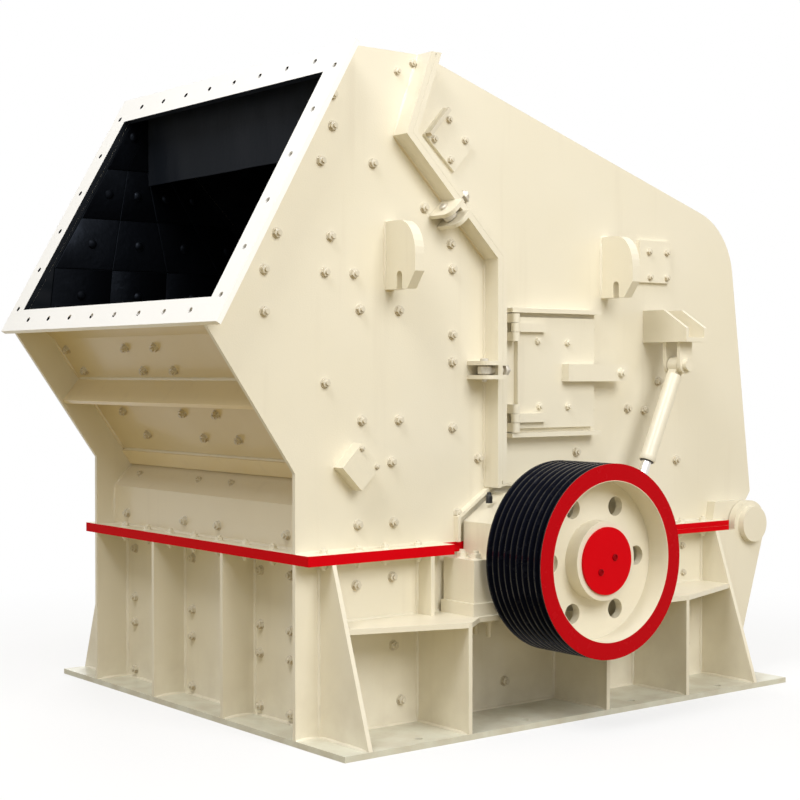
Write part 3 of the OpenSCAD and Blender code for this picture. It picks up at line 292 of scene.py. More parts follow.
plate = 0.020
inner_y, wall_y, base_edge = 0.855, 0.875, 1.205
base_top = 0.025
shelf_low, shelf_top = 0.473, 0.495
flange_low, flange_top = 0.751, 0.795
front_x, panel_x, rear_x = -1.360, -1.190, 1.121
corner_rib, front_rib, middle_rib, rear_rib, upper_rib = -1.241, -0.717, 0.100, 0.629, 0.480
bearing_front, bearing_rear = -0.300, 0.020
panel_rib_y, panel_rib_front = 0.302, -1.350
rib_runs = [(corner_rib, base_top, flange_low), (rear_x, base_top, flange_low),
            (front_rib, base_top, shelf_low), (middle_rib, base_top, shelf_low),
            (rear_rib, base_top, shelf_low), (front_rib, shelf_top, flange_low),
            (upper_rib, shelf_top, flange_low)]


def between(*ribs):
    """The runs along a side wall, from its front edge to the rear panel, that those ribs leave free."""
    return list(zip([front_x] + [rib + plate for rib in ribs], ribs + (rear_x,)))


seams = []
for side in (-1, 1):
    wall, out = side * wall_y, (0, side, 0)
    for x, low, high in rib_runs:
        for face, way in ((x, (-1, 0, 0)), (x + plate, (1, 0, 0))):
            if face <= rear_x:
                seams.append(weld((face, wall, low), (face, wall, high), way, out))
            if low == base_top:
                seams.append(weld((face, wall, low), (face, side * base_edge, low), way, (0, 0, 1)))
    for a, b in between(corner_rib, front_rib, middle_rib, rear_rib):
        seams.append(weld((a, wall, base_top), (b, wall, base_top), out, (0, 0, 1)))
        if a > front_x:
            seams.append(weld((a, wall, shelf_low), (b, wall, shelf_low), out, (0, 0, -1)))
    for a, b in between(corner_rib, front_rib, upper_rib)[1:]:
        seams.append(weld((a, wall, shelf_top), (b, wall, shelf_top), out, (0, 0, 1)))
    *ahead, beside_bearing, behind = between(corner_rib, front_rib, upper_rib)
    for a, b in (*ahead, (beside_bearing[0], bearing_front), (bearing_rear, beside_bearing[1]), behind):
        seams.append(weld((a, wall, flange_low), (b, wall, flange_low), out, (0, 0, -1)))
    for y, way in ((side * panel_rib_y - plate / 2, (0, -1, 0)), (side * panel_rib_y + plate / 2, (0, 1, 0)),
                   (side * inner_y, (0, -side, 0))):
        seams.append(weld((panel_x, y, base_top), (panel_x, y, flange_low), (-1, 0, 0), way))
        seams.append(weld((panel_x, y, base_top), (panel_rib_front, y, base_top), (0, 0, 1), way))
rib_in, rib_out = panel_rib_y - plate / 2, panel_rib_y + plate / 2
for a, b in ((-inner_y, -rib_out), (-rib_in, rib_in), (rib_out, inner_y)):
    seams.append(weld((panel_x, a, base_top), (panel_x, b, base_top), (-1, 0, 0), (0, 0, 1)))
    seams.append(weld((panel_x, a, flange_low), (panel_x, b, flange_low), (-1, 0, 0), (0, 0, -1)))
piece("frame_welds", seams, cream_enamel, "frame")

# ---------------------------------------------------------------- lower frame: liner nuts
# Manganese steel liners are bolted to the inside of the walls: their studs come through and end in
# washers and hexagon nuts.


def nut(size):
    """A hexagon nut on its washer with the end of its stud, standing on z = 0: rings of 12 corners. A round
    ring has one radius; a hexagon's is its inner radius over the cosine of the angle from the middle of the
    nearest flat."""
    turn = np.arange(12) * math.tau / 12
    hexagon = math.cos(math.pi / 6) / np.cos(turn % (math.pi / 3) - math.pi / 6)
    rows = ((1.12, 0.0, 1.0), (1.06, 0.16, 1.0), (0.94, 0.16, hexagon), (0.94, 0.82, hexagon),
            (0.52, 0.90, 1.0), (0.48, 1.30, 1.0))
    reach = np.array([radius * shape * np.ones(12) for radius, _, shape in rows]) * size
    height = np.array([height for _, height, _ in rows])[:, None] * np.ones(12) * size
    return loft(np.stack([reach * np.cos(turn), reach * np.sin(turn), height], -1))


def round_head(size):
    """A low domed head: circles whose radius falls as a quarter ellipse of half that height."""
    sides = 14
    turn = np.arange(sides) * math.tau / sides
    rise = np.radians([0, 8, 30, 55, 78])[:, None]
    reach = size * np.cos(rise) * np.ones(sides)
    height = 0.5 * size * np.sin(rise) * np.ones(sides)
    return loft(np.stack([reach * np.cos(turn), reach * np.sin(turn), height], -1))


def crosswise(up):
    """A unit vector square to that one: a level one, or the Y axis where that one stands upright."""
    side = np.cross(up, (0.0, 0.0, 1.0) if abs(up[2]) < 0.9 else (1.0, 0.0, 0.0))
    return side / np.linalg.norm(side)


def placed(shell, spots, out):
    """Copies of a shell that stands on its own XY plane: each is turned about Z by its number times 137.5
    degrees, its Z laid along out, and set down at one of the spots."""
    corners, blocks = shell
    spots = np.asarray(spots, float).reshape(-1, 3)
    up = np.asarray(out, float) / np.linalg.norm(out)
    side = crosswise(up)
    turn = np.arange(len(spots))[:, None] * math.radians(137.5)
    first = np.cos(turn) * side + np.sin(turn) * np.cross(up, side)
    frames = np.stack([first, np.cross(up, first), np.broadcast_to(up, first.shape)], 1)
    points = spots[:, None] + np.einsum("ck,nkj->ncj", corners, frames)
    shift = np.arange(len(spots))[:, None, None] * len(corners)
    return points.reshape(-1, 3), [(block + shift).reshape(-1, block.shape[1]) for block in blocks]


def on_walls(shell, places, y=wall_y):
    """The shell at each (x, z) place on both sides of the machine, at that distance from its middle."""
    return [placed(shell, [(x, side * y, z) for x, z in places], (0, side, 0)) for side in (-1, 1)]


liner_nut = nut(0.021)
small_nut = nut(0.016)
panel_spots = [(panel_x, y, z) for y in (0.77, 0.22, -0.36, -0.60) for z in (0.67, 0.43, 0.305, 0.07)]
rear_spots = [(rear_x + plate, y, z) for y in (-0.66, -0.22, 0.22, 0.66) for z in (0.62, 0.36, 0.12)]
shells = [placed(liner_nut, panel_spots, (-1, 0, 0)), placed(liner_nut, rear_spots, (1, 0, 0))]
shells += on_walls(liner_nut, [(-1.05, 0.645), (-0.857, 0.666), (-0.85, 0.37), (-0.81, 0.13),
                               (-0.21, 0.14), (1.00, 0.19)])
shells += on_walls(small_nut, [(0.979, 0.68), (0.987, 0.545)])
# The nuts are painted darker than the plates for the shade on them, and browner painted shade where they look
# down.
shaded_nut_enamel = enamel("shaded_nut_enamel", (0.72, 0.665, 0.54, 1), (0.60, 0.55, 0.43, 1), down_shade=(0.52, 0.42, 0.27, 1))
piece("frame_nuts", shells, shaded_nut_enamel, "frame")

# ---------------------------------------------------------------- joint flanges
# The flat bars where the housings meet the lower frame are cream with signal red edges. A row of studs
# clamps them, with a nut above and a nut below, oversprayed with the cream of the plates.

red = (0.68, 0.001, 0.006, 1)
edged = Coat("red_edged_enamel", roughness=0.5, shine=0.04)
level = edged.axis("Z", edged.normal()).math("ABSOLUTE").above(0.6, 0.1)
film = edged.noise(2.0, 3.0).above(0.55, 0.5)
edged.finish(edged.tint(level, red, edged.tint(film, cream, cream_shade)), None, None,
             edged.noise(160.0, 1.0) * 0.10, depth=0.004)
repaint(edged.material, "lower_joint_flange", "front_joint_flange", "rear_joint_flange")

bolt_y, tip_flange_top = 0.922, 0.800
front_row = [(-1.310, y) for y in (0.655, 0.440, 0.225, 0.010, -0.205, -0.420, -0.635)]
side_row = [(x, side * bolt_y) for x in (-1.25, -1.07, -0.93, -0.75) for side in (-1, 1)]
tip_row = [(x, side * bolt_y) for x in (0.56, 0.74, 0.92, 1.08) for side in (-1, 1)]
flange_bolt = nut(0.019)
shells = [placed(flange_bolt, [(x, y, flange_top) for x, y in front_row + side_row], (0, 0, 1)),
          placed(flange_bolt, [(x, y, flange_low) for x, y in front_row + side_row + tip_row], (0, 0, -1))]
piece("joint_bolts", shells, cream_enamel, "frame")
piece("tip_joint_bolts", [placed(flange_bolt, [(x, y, tip_flange_top) for x, y in tip_row], (0, 0, 1))],
      cream_enamel, "rear_housing")

# ---------------------------------------------------------------- bearing housings
# Cast plummer blocks carry the rotor shaft outside the walls. Their feet are bolted through the shelf,
# a ringed end cover keeps the grease in, and a black plug closes the filling hole on the cap's slope.

repaint(cream_enamel, "bearing_housing_near", "bearing_housing_far")

shaft_x, shaft_z = -0.140, 0.735
bearing_face, bolt_circle, foot_rows = 1.100, 0.190, (0.955, 1.045)


def turned(profile, origin, axis, sides=48):
    """A turned part: a profile of (radius, height) pairs carried round the axis from the origin. Flat discs
    close its first and last ring."""
    up = np.asarray(axis, float) / np.linalg.norm(axis)
    side = crosswise(up)
    turn = np.arange(sides)[None, :, None] * math.tau / sides
    radius, height = np.array(profile, float).T[:, :, None, None]
    around = np.cos(turn) * side + np.sin(turn) * np.cross(up, side)
    return loft(np.asarray(origin, float) + radius * around + height * up)


end_cover = ((0.215, -0.004), (0.215, 0.010), (0.205, 0.016), (0.172, 0.016), (0.164, 0.024),
             (0.130, 0.024), (0.122, 0.030), (0.102, 0.030), (0.102, -0.002))
stud = ((0.013, 0.020), (0.013, 0.082), (0.010, 0.086))
ring = np.arange(8) * math.tau / 8 + math.tau / 16
foot_nut = nut(0.026)
shells = []
for side in (-1, 1):
    face = side * bearing_face
    shells.append(turned(end_cover, (shaft_x, face, shaft_z), (0, side, 0), 64))
    bolts = [(shaft_x + bolt_circle * math.cos(a), face + side * 0.015, shaft_z + bolt_circle * math.sin(a))
             for a in ring]
    shells.append(placed(small_nut, bolts, (0, side, 0)))
    feet = [(shaft_x + dx, side * y, shaft_z) for dx in (-0.388, 0.388) for y in foot_rows]
    shells.append(placed(foot_nut, feet, (0, 0, 1)))
    hung = [(shaft_x + dx, side * y, shelf_low) for dx in (-0.31, 0.20) for y in foot_rows]
    shells.append(placed(foot_nut, hung, (0, 0, -1)))
    shells += [turned(stud, spot, (0, 0, -1), 14) for spot in hung]
piece("bearing_covers", shells, cream_enamel, "frame")

plug_paint = Coat("grease_plug", roughness=0.35)
specks = plug_paint.noise(60.0, 2.0).above(0.6, 0.2)
plug_black = plug_paint.finish(plug_paint.tint(specks, (0.012, 0.012, 0.014, 1), (0.05, 0.05, 0.05, 1)),
                               None, None, plug_paint.noise(90.0), depth=0.001)
plug = ((0.015, -0.014), (0.015, 0.018), (0.011, 0.022), (0.009, 0.034), (0.004, 0.036))
plug_x, plug_y, plug_z = -0.385, 0.970, 0.979
plugs = [turned(plug, (plug_x, side * plug_y, plug_z), (0, 0, 1), 20) for side in (-1, 1)]
piece("grease_plugs", plugs, plug_black, "frame")

# ---------------------------------------------------------------- rotor and shaft
# Five steel discs on a turned shaft carry four manganese blow bars in their slots. The stone has
# scoured the discs dark grey and the bars a paler grey.


def cast_iron(name, dark, pale, lumps, metallic=0.7):
    """Rough cast metal: a pitted surface with paler, rubbed patches."""
    coat = Coat(name, metallic=metallic, shine=0.25)
    rubbed = coat.noise(lumps, 5.0).above(0.52, 0.25)
    pits = coat.noise(lumps * 9, 4.0)
    relief = pits * 0.7 + rubbed * 0.3
    return coat.finish(coat.tint(rubbed, dark, pale), 0.62 - rubbed * 0.2, None, relief, depth=0.003)


scoured_iron = cast_iron("scoured_iron", (0.05, 0.048, 0.045, 1), (0.20, 0.19, 0.175, 1), 7.0)
repaint(scoured_iron, "rotor_discs")
repaint(cast_iron("blow_bar_steel", (0.12, 0.115, 0.11, 1), (0.42, 0.41, 0.39, 1), 11.0), "blow_bars")
lathe = Coat("turned_steel", metallic=1.0)
lathe_marks = lathe.noise(3.0, 2.0, stretch=(1, 90, 1))
lathe.finish((0.52, 0.52, 0.53, 1), 0.24 + lathe_marks * 0.2, None, lathe_marks, depth=0.0004)
repaint(lathe.material, "rotor_shaft")

# ---------------------------------------------------------------- belt pulley and hub cap
# A cast pulley with nine V-grooves: the grooved rim is glossy black, its outer face a red ring, the web
# and hub inside it are cream. A red cap with two set screws covers the end of the shaft.


def pulley_paint():
    """Colours by place: the distance from the shaft and the outer face of the rim divide the three paints."""
    low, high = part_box("pulley")
    axle_x, axle_z = (low[0] + high[0]) / 2, (low[2] + high[2]) / 2
    rim_inner = (high[0] - low[0]) / 2 - 0.075
    coat = Coat("pulley_paint", shine=0.05)
    across = coat.axis("X") - axle_x
    up = coat.axis("Z") - axle_z
    radius = (across * across + up * up).math("SQRT")
    on_rim = radius.above(rim_inner + 0.002, 0.0008)
    on_face = 1 - coat.axis("Y").above(low[1] + 0.0012, 0.0008)
    wear = coat.noise(30.0, 4.0).above(0.66, 0.12)
    cream_web = coat.tint(coat.noise(3.0, 3.0).above(0.55, 0.5) * 0.5, cream, cream_shade)
    grooved = on_rim * (1 - on_face)
    worn_black = coat.tint(wear * 0.08, (0.005, 0.006, 0.012, 1), (0.08, 0.08, 0.10, 1))
    base = coat.tint(grooved, cream_web, worn_black)
    base = coat.tint(on_rim * on_face, base, (0.50, 0.001, 0.005, 1))
    rough = 0.34 - on_rim * 0.08 + wear * 0.06
    return coat.finish(base, rough, None, coat.noise(120.0, 1.0) * 0.12, depth=0.002,
                       clear=grooved * 0.35 + (1 - on_rim) * 0.6)


repaint(pulley_paint(), "pulley")
repaint(enamel("red_enamel", red, (0.60, 0.001, 0.006, 1), dusty=0.0, clear=0.0, shine=0.05), "hub_cap")
cap_low, cap_high = (np.array(corner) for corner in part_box("hub_cap"))
cap_x, _, cap_z = (cap_high + cap_low) / 2
cap_radius = (cap_high[0] - cap_low[0]) / 2
socket_screw = ((0.015, -0.002), (0.015, 0.004), (0.011, 0.006), (0.008, 0.002))
screws = [turned(socket_screw, (cap_x + cap_radius * right, cap_low[1], cap_z + cap_radius * up),
                 (0, -1, 0), 16) for right, up in ((0.30, 0.09), (-0.28, -0.31))]
# The set screws are painted a darker red than the cap for the shade on them.
shaded_screw_red = enamel("shaded_screw_red", (0.30, 0.001, 0.004, 1), (0.24, 0.001, 0.004, 1),
                      dusty=0.0, clear=0.0, shine=0.05)
piece("cap_screws", screws, shaded_screw_red, "rotor")

# ---------------------------------------------------------------- front housing: plates, beams and welds
# The front half of the upper housing is bolted down for good: flanged side plates, a sloping wall under
# the feed opening stiffened by two cross beams, and a roof. Inside it is bare iron, painted near-black for
# the shade in the chamber.

slope = np.array([-0.574, 0.0, 0.819])
outward = np.array([-0.819, 0.0, -0.574])
slope_foot = np.array([-1.184, 0.0, 1.128])
feed_chamber = (-0.75, 0.0, 1.9)
wall_rooms = [[((0.819, 0, 0.574), -0.314)], [((1, 0, 0), -1.254), ((0.704, 0, -0.710), -1.578)],
              [((0.627, 0, 0.779), 0.340), ((0, 0, 1), 1.70)]]
front_wall = enamel("front_wall", cream, cream_shade, chamber=feed_chamber, rooms=wall_rooms)
repaint(front_wall, "front_side_plate_near", "front_side_plate_far", "front_roof")
# Browner painted shade for faces that look down; the sloping wall is also painted a yellower cream for the
# shade under the feed flange.
down_shade_brown = (0.69, 0.56, 0.30, 1)
repaint(enamel("shaded_hopper_enamel", (0.83, 0.755, 0.585, 1), (0.78, 0.69, 0.51, 1), chamber=feed_chamber,
               rooms=wall_rooms, down_shade=down_shade_brown), "under_hopper_wall")
# The cross beams are painted a browner cream for the shade under the feed flange.
repaint(enamel("shaded_beam_enamel", (0.86, 0.735, 0.475, 1), (0.79, 0.65, 0.40, 1)), "hopper_cross_beams")
repaint(cream_enamel, "front_split_flange", "front_lifting_lugs", "inspection_boxes", "clamp_lugs")

apron_x, ledge_z, ledge_way = -1.262, 0.983, np.array([-0.704, 0.0, 0.710])
foot = slope_foot - slope * 0.049
beam_run, beam_end = np.array([-0.643, 0.0, -0.766]), 0.850
split_turn, split_top, split_end = (-0.333, 2.050), (-0.850, 2.558), (-0.7169, 2.915)
lug_low, lug_high, lug_thickness = 1.897, 2.187, 0.050
front_lug_x, foot_seam_end = -0.895, -0.600


def split_weld(start, end, side, way):
    """A seam on a side wall from one (x, z) place to the next, along a split flange. It lies on the flange's
    front side where way is -1 and behind it where way is 1."""
    run = np.subtract(end, start) / math.hypot(*np.subtract(end, start))
    across = np.array([run[1], 0, -run[0]])
    across *= math.copysign(1, across[0] * way)
    wall = side * wall_y
    return weld((start[0], wall, start[1]), (end[0], wall, end[1]), across, (0, side, 0), 0.008)


def lug_welds(front, side):
    """The seams round the foot of a lifting lug with that front face: up both faces, then across its ends."""
    wall, out, rear = side * wall_y, (0, side, 0), front + lug_thickness
    seams = [weld((x, wall, lug_low), (x, wall, lug_high), way, out)
             for x, way in ((front, (-1, 0, 0)), (rear, (1, 0, 0)))]
    return seams + [weld((front, wall, z), (rear, wall, z), way, out)
                    for z, way in ((lug_low, (0, 0, -1)), (lug_high, (0, 0, 1)))]


seams = []
for side in (-1, 1):
    wall, out, inner, back = side * wall_y, (0, side, 0), side * inner_y, (0, -side, 0)
    seams.append(weld((front_x, wall, flange_top), (foot_seam_end, wall, flange_top), out, (0, 0, 1)))
    seams.append(weld((apron_x, inner, ledge_z), (apron_x, inner, flange_top), (-1, 0, 0), back))
    seams.append(weld((apron_x, inner, ledge_z), foot + (0, inner, 0), ledge_way, back))
    for a, b in ((0.045, 0.440), (0.480, 0.700)):
        start, end = (slope_foot + slope * t + (0, inner, 0) for t in (a, b))
        seams.append(weld(start, end, outward, back))
    for start, end in ((split_turn, (split_turn[0], 1.050)), (split_turn, split_top), (split_top, split_end)):
        seams.append(split_weld(start, end, side, -1))
    seams += lug_welds(front_lug_x, side)
for t, one_way, other_way in ((0.4725, slope, beam_run), (0.0427, slope, outward),
                              (-0.0393, -slope, outward)):
    corner = slope_foot + slope * t
    seams.append(weld(corner + (0, -beam_end, 0), corner + (0, beam_end, 0), one_way, other_way))
seams.append(weld((apron_x, -inner_y, flange_top), (apron_x, inner_y, flange_top), (-1, 0, 0), (0, 0, 1)))
# The beads take a browner painted shade where they look down.
shaded_seam_enamel = enamel("shaded_seam_enamel", (0.82, 0.755, 0.60, 1), (0.77, 0.69, 0.51, 1), down_shade=down_shade_brown)
piece("front_welds", seams, shaded_seam_enamel, "frame")

# ---------------------------------------------------------------- front housing: liner nuts
# Liner studs come through the side plates, the sloping wall and the upright panel below it, each
# with its washer and nut. Two small studs stand by the roof, and two nuts hold each inspection lid.

side_spots = [(-1.17, 2.70), (-1.17, 2.57), (-1.23, 2.42), (-0.96, 2.43), (-1.45, 2.11), (-1.18, 2.11),
              (-1.51, 1.96), (-1.21, 1.96), (-1.06, 1.96), (-1.51, 1.79), (-1.03, 1.81), (-0.82, 1.81),
              (-0.53, 2.11), (-0.52, 2.00), (-0.68, 2.26), (-0.52, 1.71), (-0.52, 1.59), (-1.21, 1.50),
              (-1.02, 1.34), (-0.82, 1.34), (-0.52, 1.30), (-0.37, 1.16), (-0.86, 1.16), (-1.04, 0.90),
              (-0.85, 0.90), (-0.49, 0.92)]
# How far up the sloping wall each row of nuts lies, and where its nuts stand across it.
wall_rows = [(0.645, (0.78, 0.20, -0.07)), (0.521, (0.735, 0.155, -0.115)),
             (0.283, (0.60, 0.04, -0.245)), (0.147, (0.50, -0.02, -0.31))]
wall_spots = [slope_foot + slope * t + (0, y, 0) for t, row in wall_rows for y in row]
shells = on_walls(liner_nut, side_spots) + on_walls(small_nut, [(-0.746, 2.880), (-0.829, 2.835)])
shells.append(placed(liner_nut, wall_spots, outward))
shells.append(placed(liner_nut, [(apron_x, y, 0.854) for y in (0.717, 0.172, -0.124, -0.675)], (-1, 0, 0)))
shells.append(placed(small_nut, [(foot[0] - 0.046, y, 1.042) for y in (0.70, 0.145, -0.14)], ledge_way))
lid, lid_reach = np.array([-1.066, 1.147]), 0.079
shells += on_walls(nut(0.012), [lid + (0, lid_reach), lid + (lid_reach, 0)], 0.940)
piece("front_nuts", shells, shaded_nut_enamel, "frame")

# ---------------------------------------------------------------- front housing: side liners
# Flat manganese plates line the inside of the side walls, trimmed to the feed edge and to the
# parting line. Each is held through its middle by a bolt with a low round head.

# The liners are painted near-black, darker than their iron is, for the shade inside the housing.
shaded_front_iron = cast_iron("shaded_liner_iron", (0.003, 0.004, 0.006, 1), (0.008, 0.010, 0.014, 1), 4.0, 0.85)
feed_foot, feed_angle = (-1.804, 1.743), math.radians(60.2)
rows = np.array([1.300, 1.545, 1.790, 2.050, 2.300, 2.550, 2.885])
along_slope = slope_foot[0] + (rows - slope_foot[2]) * slope[0] / slope[2] + 0.030
along_feed = feed_foot[0] + (rows - feed_foot[1]) / math.tan(feed_angle) + 0.040
along_split = np.interp(rows, [1.3, 2.050, 2.558, 2.885], [-0.352, -0.352, -0.868, -0.745])
columns = np.linspace(0, 1, 5)
front_edge = np.maximum(along_slope, along_feed)[:, None]
x = front_edge + (along_split[:, None] - front_edge) * columns
z = np.broadcast_to(rows[:, None], x.shape)
grid = np.stack([x, z], -1)
tiles = np.stack([grid[:-1, :-1], grid[:-1, 1:], grid[1:, 1:], grid[1:, :-1]], 2).reshape(-1, 4, 2)
centres = tiles.mean(1, keepdims=True)
# The margin of a plate and its distance from the middle of the machine: its back, its front edge, its face.
tile_rings = [(0.002, 0.8555), (0.002, 0.8425), (0.005, 0.8410)]
shells = []
for side in (-1, 1):
    for corners, centre in zip(tiles[:, ::side], centres):
        away = (corners - centre) / np.linalg.norm(corners - centre, axis=1, keepdims=True)
        rings = [np.insert(corners - away * gap, 1, side * y, axis=1) for gap, y in tile_rings]
        shells.append(loft(np.array(rings)))
    heads = [(c[0, 0], side * 0.8415, c[0, 1]) for c in centres]
    shells.append(placed(round_head(0.024), heads, (0, -side, 0)))
piece("side_liners", shells, shaded_front_iron, "frame")

# ---------------------------------------------------------------- parting seals
# A flat cord of sealing compound, painted over with the plates, fills the seam between the two split
# flanges; between the side plates, inside, it is painted near-black for the shade there. The rear roof ends
# in a cross bar that closes on this cord, and a red seal lies under the joint flange of the rear housing.


def strip(path, across, low, high):
    """A flat strip along a path of (u, v) points: the path is moved across to both edges, with mitred
    corners. Each station is a ring of four corners (u, v, w), where w runs from low to high."""
    path = np.array(path, float)
    run = np.diff(path, axis=0)
    right = np.stack([run[:, 1], -run[:, 0]], -1) / np.linalg.norm(run, axis=1, keepdims=True)
    before, after = right[[0] + list(range(len(right)))], right[list(range(len(right))) + [-1]]
    shift = (before + after) / (1 + np.sum(before * after, axis=1, keepdims=True))
    edges = [path + shift * distance for distance in across]
    corners = [(edges[0], low), (edges[0], high), (edges[1], high), (edges[1], low)]
    return np.stack([np.insert(edge, 2, level, axis=1) for edge, level in corners], 1)


def strip_across(path, reach, low, high):
    """A strip along a path of (x, z) points, lying along Y from low to high. Swapping two axes mirrors it, so
    its levels change places to keep the faces outwards."""
    return loft(strip(path, reach, high, low)[..., [0, 2, 1]])


cord_reach, bar_reach = (0.0242, 0.0288), (0.0292, 0.0528)
flange_in, flange_out, roof_half = 0.876, 0.9694, 0.8545
dusty_in, dusty_out = 0.8552, 0.8755
split_path = [(split_turn[0], 1.060), split_turn, split_top, split_end]
roof_path = [(-0.7598, 2.800), (-0.7127, 2.926)]
shells = [strip_across(split_path, cord_reach, flange_in, flange_out),
          strip_across(split_path, cord_reach, -flange_out, -flange_in),
          strip_across(roof_path, cord_reach, -roof_half, roof_half)]
piece("split_seal", shells, cream_enamel, "frame")
shells = [strip_across(split_path, cord_reach, dusty_in, dusty_out),
          strip_across(split_path, cord_reach, -dusty_out, -dusty_in)]
piece("inner_split_seal", shells, shaded_front_iron, "frame")
shells = [strip_across(roof_path, bar_reach, -roof_half, roof_half)]
piece("roof_joint_bar", shells, front_wall, "rear_housing")
tip_path = [(0.310, 0.900), (1.153, 0.900), (1.153, -0.900), (0.310, -0.900)]
joint_seal = loft(strip(tip_path, (-0.0695, 0.0), 0.7733, 0.7778))
piece("joint_seal", [joint_seal], edged.material, "frame")

# ---------------------------------------------------------------- swing-bolt clamps
# Four swing bolts hold the two housings together: each pivots on a pin between a pair of lugs, lies in
# a slot of the rear flange and is drawn up by a nut. They are zinc plated and swing out before tipping.

zinc = Coat("zinc_plate", metallic=0.35)
spangle = zinc.noise(45.0, 3.0).above(0.5, 0.4)
zinc_plate = zinc.finish(zinc.tint(spangle, (0.70, 0.66, 0.57, 1), (0.53, 0.49, 0.42, 1)),
                         0.36 + spangle * 0.15, None, spangle, depth=0.0004)
slope_run = np.array(split_top) - split_turn
slope_run = slope_run / np.linalg.norm(slope_run)
clamp_y = 0.935
lower_clamp = (split_turn[0], 1.554), np.array([1.0, 0, 0])
upper_clamp = np.array(split_turn) + slope_run * 0.310, np.array([slope_run[1], 0, -slope_run[0]])
eye = ((0.026, -0.019), (0.031, -0.015), (0.031, 0.015), (0.026, 0.019))
pivot = ((0.010, -0.052), (0.012, -0.050), (0.012, 0.040), (0.019, 0.040), (0.019, 0.050), (0.015, 0.053))
shank = ((0.017, 0.0), (0.017, 0.100), (0.032, 0.1035), (0.034, 0.107), (0.034, 0.111))
shells = []
for side in (-1, 1):
    for (x, z), through in (lower_clamp, upper_clamp):
        along = np.array([-through[2], 0, through[0]])
        pin = np.array([x, side * clamp_y, z]) - through * 0.050
        shells += [turned(eye, pin, along, 28), turned(pivot, pin, along, 20),
                   turned(shank, pin, through, 28), placed(nut(0.027), [pin + through * 0.1105], through)]
piece("swing_bolts", shells, zinc_plate, "frame")

# ---------------------------------------------------------------- feed flange
# The sloping frame that the feed chute bolts to: thick flat bar, drilled all round and sprayed white. Its
# inner edges are worn bare by the stone and painted near-black there, as painted shade of the opening.

white_enamel = enamel("white_enamel", (0.97, 0.965, 0.95, 1), (0.94, 0.93, 0.91, 1),
                      chamber=(-1.470, 0.0, 2.332), dusty=0.2)
repaint(white_enamel, "feed_flange")

# ---------------------------------------------------------------- feed curtain
# A heavy rubber sheet hangs across the mouth of the feed opening, so that no stone flies out. A flat
# steel bar and a row of bolts hold its top edge, and it waves a little towards its free edge.


def hung_sheet(low, high, thickness, waves):
    """A closed rubber sheet between two corners: level rings from the top down, whose two faces lie half the
    thickness off a middle line. That line waves along Y as two sines that grow from nothing at the top."""
    width = np.linspace(low[1], high[1], 41)
    drop = np.linspace(0, 1, 15)[:, None]
    swing = (high[0] - low[0] - thickness) / 2
    sway = swing * drop * (0.7 * np.sin(width * waves) + 0.3 * np.sin(width * waves * 2.3 + 1))
    middle = (low[0] + high[0]) / 2 + sway
    z = np.broadcast_to(high[2] + (low[2] - high[2]) * drop, middle.shape)
    y = np.broadcast_to(width, middle.shape)
    front = np.stack([middle - thickness / 2, y, z], -1)
    rear = np.stack([middle + thickness / 2, y, z], -1)[:, ::-1]
    return loft(np.concatenate([rear, front], 1))


rubber = Coat("curtain_rubber", shine=0.06)
scuffs = rubber.noise(5.0, 5.0, stretch=(1, 1, 0.4)).above(0.55, 0.3)
rubber_paint = rubber.finish(rubber.tint(scuffs * 0.6, (0.008, 0.010, 0.014, 1), (0.022, 0.025, 0.030, 1)),
                             0.5 + scuffs * 0.25, None, scuffs, depth=0.002)
repaint(rubber_paint, "feed_curtain")
low, high = (np.array(corner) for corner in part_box("feed_curtain"))
curtain = piece("rubber_curtain", [hung_sheet(low, high, 0.014, 9.0)], rubber_paint, "frame",
                60)
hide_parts("feed_curtain")
# The bar and its bolts take the near-black liner iron: painted shade of the opening.
bar_x, bar_z, bar_thickness, bar_height, bar_half = low[0] - 0.012, high[2] - 0.070, 0.0175, 0.070, 0.832
bar_ring = np.array([(0, 1), (1, 1), (1, 0), (0, 0)]) * (bar_thickness, bar_height) + (bar_x, bar_z)
bar = loft(np.array([np.insert(bar_ring, 1, y, axis=1) for y in (-bar_half, bar_half)]))
bar_bolts = [(bar_x, y, high[2] - bar_height / 2) for y in np.linspace(-0.74, 0.74, 8)]
piece("curtain_bar", [bar, placed(small_nut, bar_bolts, (-1, 0, 0))], shaded_front_iron, "frame")

# ---------------------------------------------------------------- rear housing: plates and nuts
# The rear half tips back on its hinge. Its roof falls to the rear and turns down in a wide bend, and
# the liners behind the impact aprons are bolted through the side plates, the roof and the back.

# Faces inside the rear housing are bare iron painted near-black for the shade inside.
rear_wall = enamel("rear_wall", cream, cream_shade, chamber=(0.45, 0.0, 1.4))
repaint(rear_wall, "rear_side_plate_near", "rear_side_plate_far", "rear_shell")
repaint(cream_enamel, "rear_split_flange", "rear_lifting_lugs", "rear_cover_plates", "door_frames")
repaint(scoured_iron, "impact_aprons")

roof_normal = np.array([0.306, 0.0, 0.952])
back_normal = np.array([0.992, 0.0, 0.127])
across = (-0.62, -0.21, 0.21, 0.62)
roof_x, roof_z, roof_fall = -0.660, 2.914, 0.3218
back_x, back_z, back_lean = 1.324, 2.276, 0.1285
roof_spots = [(x, y, roof_z - roof_fall * (x - roof_x)) for x in (-0.35, 0.05, 0.45, 0.85) for y in across]
back_spots = [(back_x + back_lean * (back_z - z), y, z) for z in (1.85, 1.50, 1.15) for y in across]
shells = on_walls(liner_nut, [(0.585, 1.37), (0.70, 1.36), (0.80, 1.50), (0.24, 1.17), (0.93, 1.11)])
shells += [placed(liner_nut, roof_spots, roof_normal), placed(liner_nut, back_spots, back_normal)]
shells += on_walls(small_nut, [(0.714, 2.131), (0.840, 2.132), (0.721, 2.009), (0.840, 2.009)], 0.895)
cover = np.array([-0.548, 2.565])
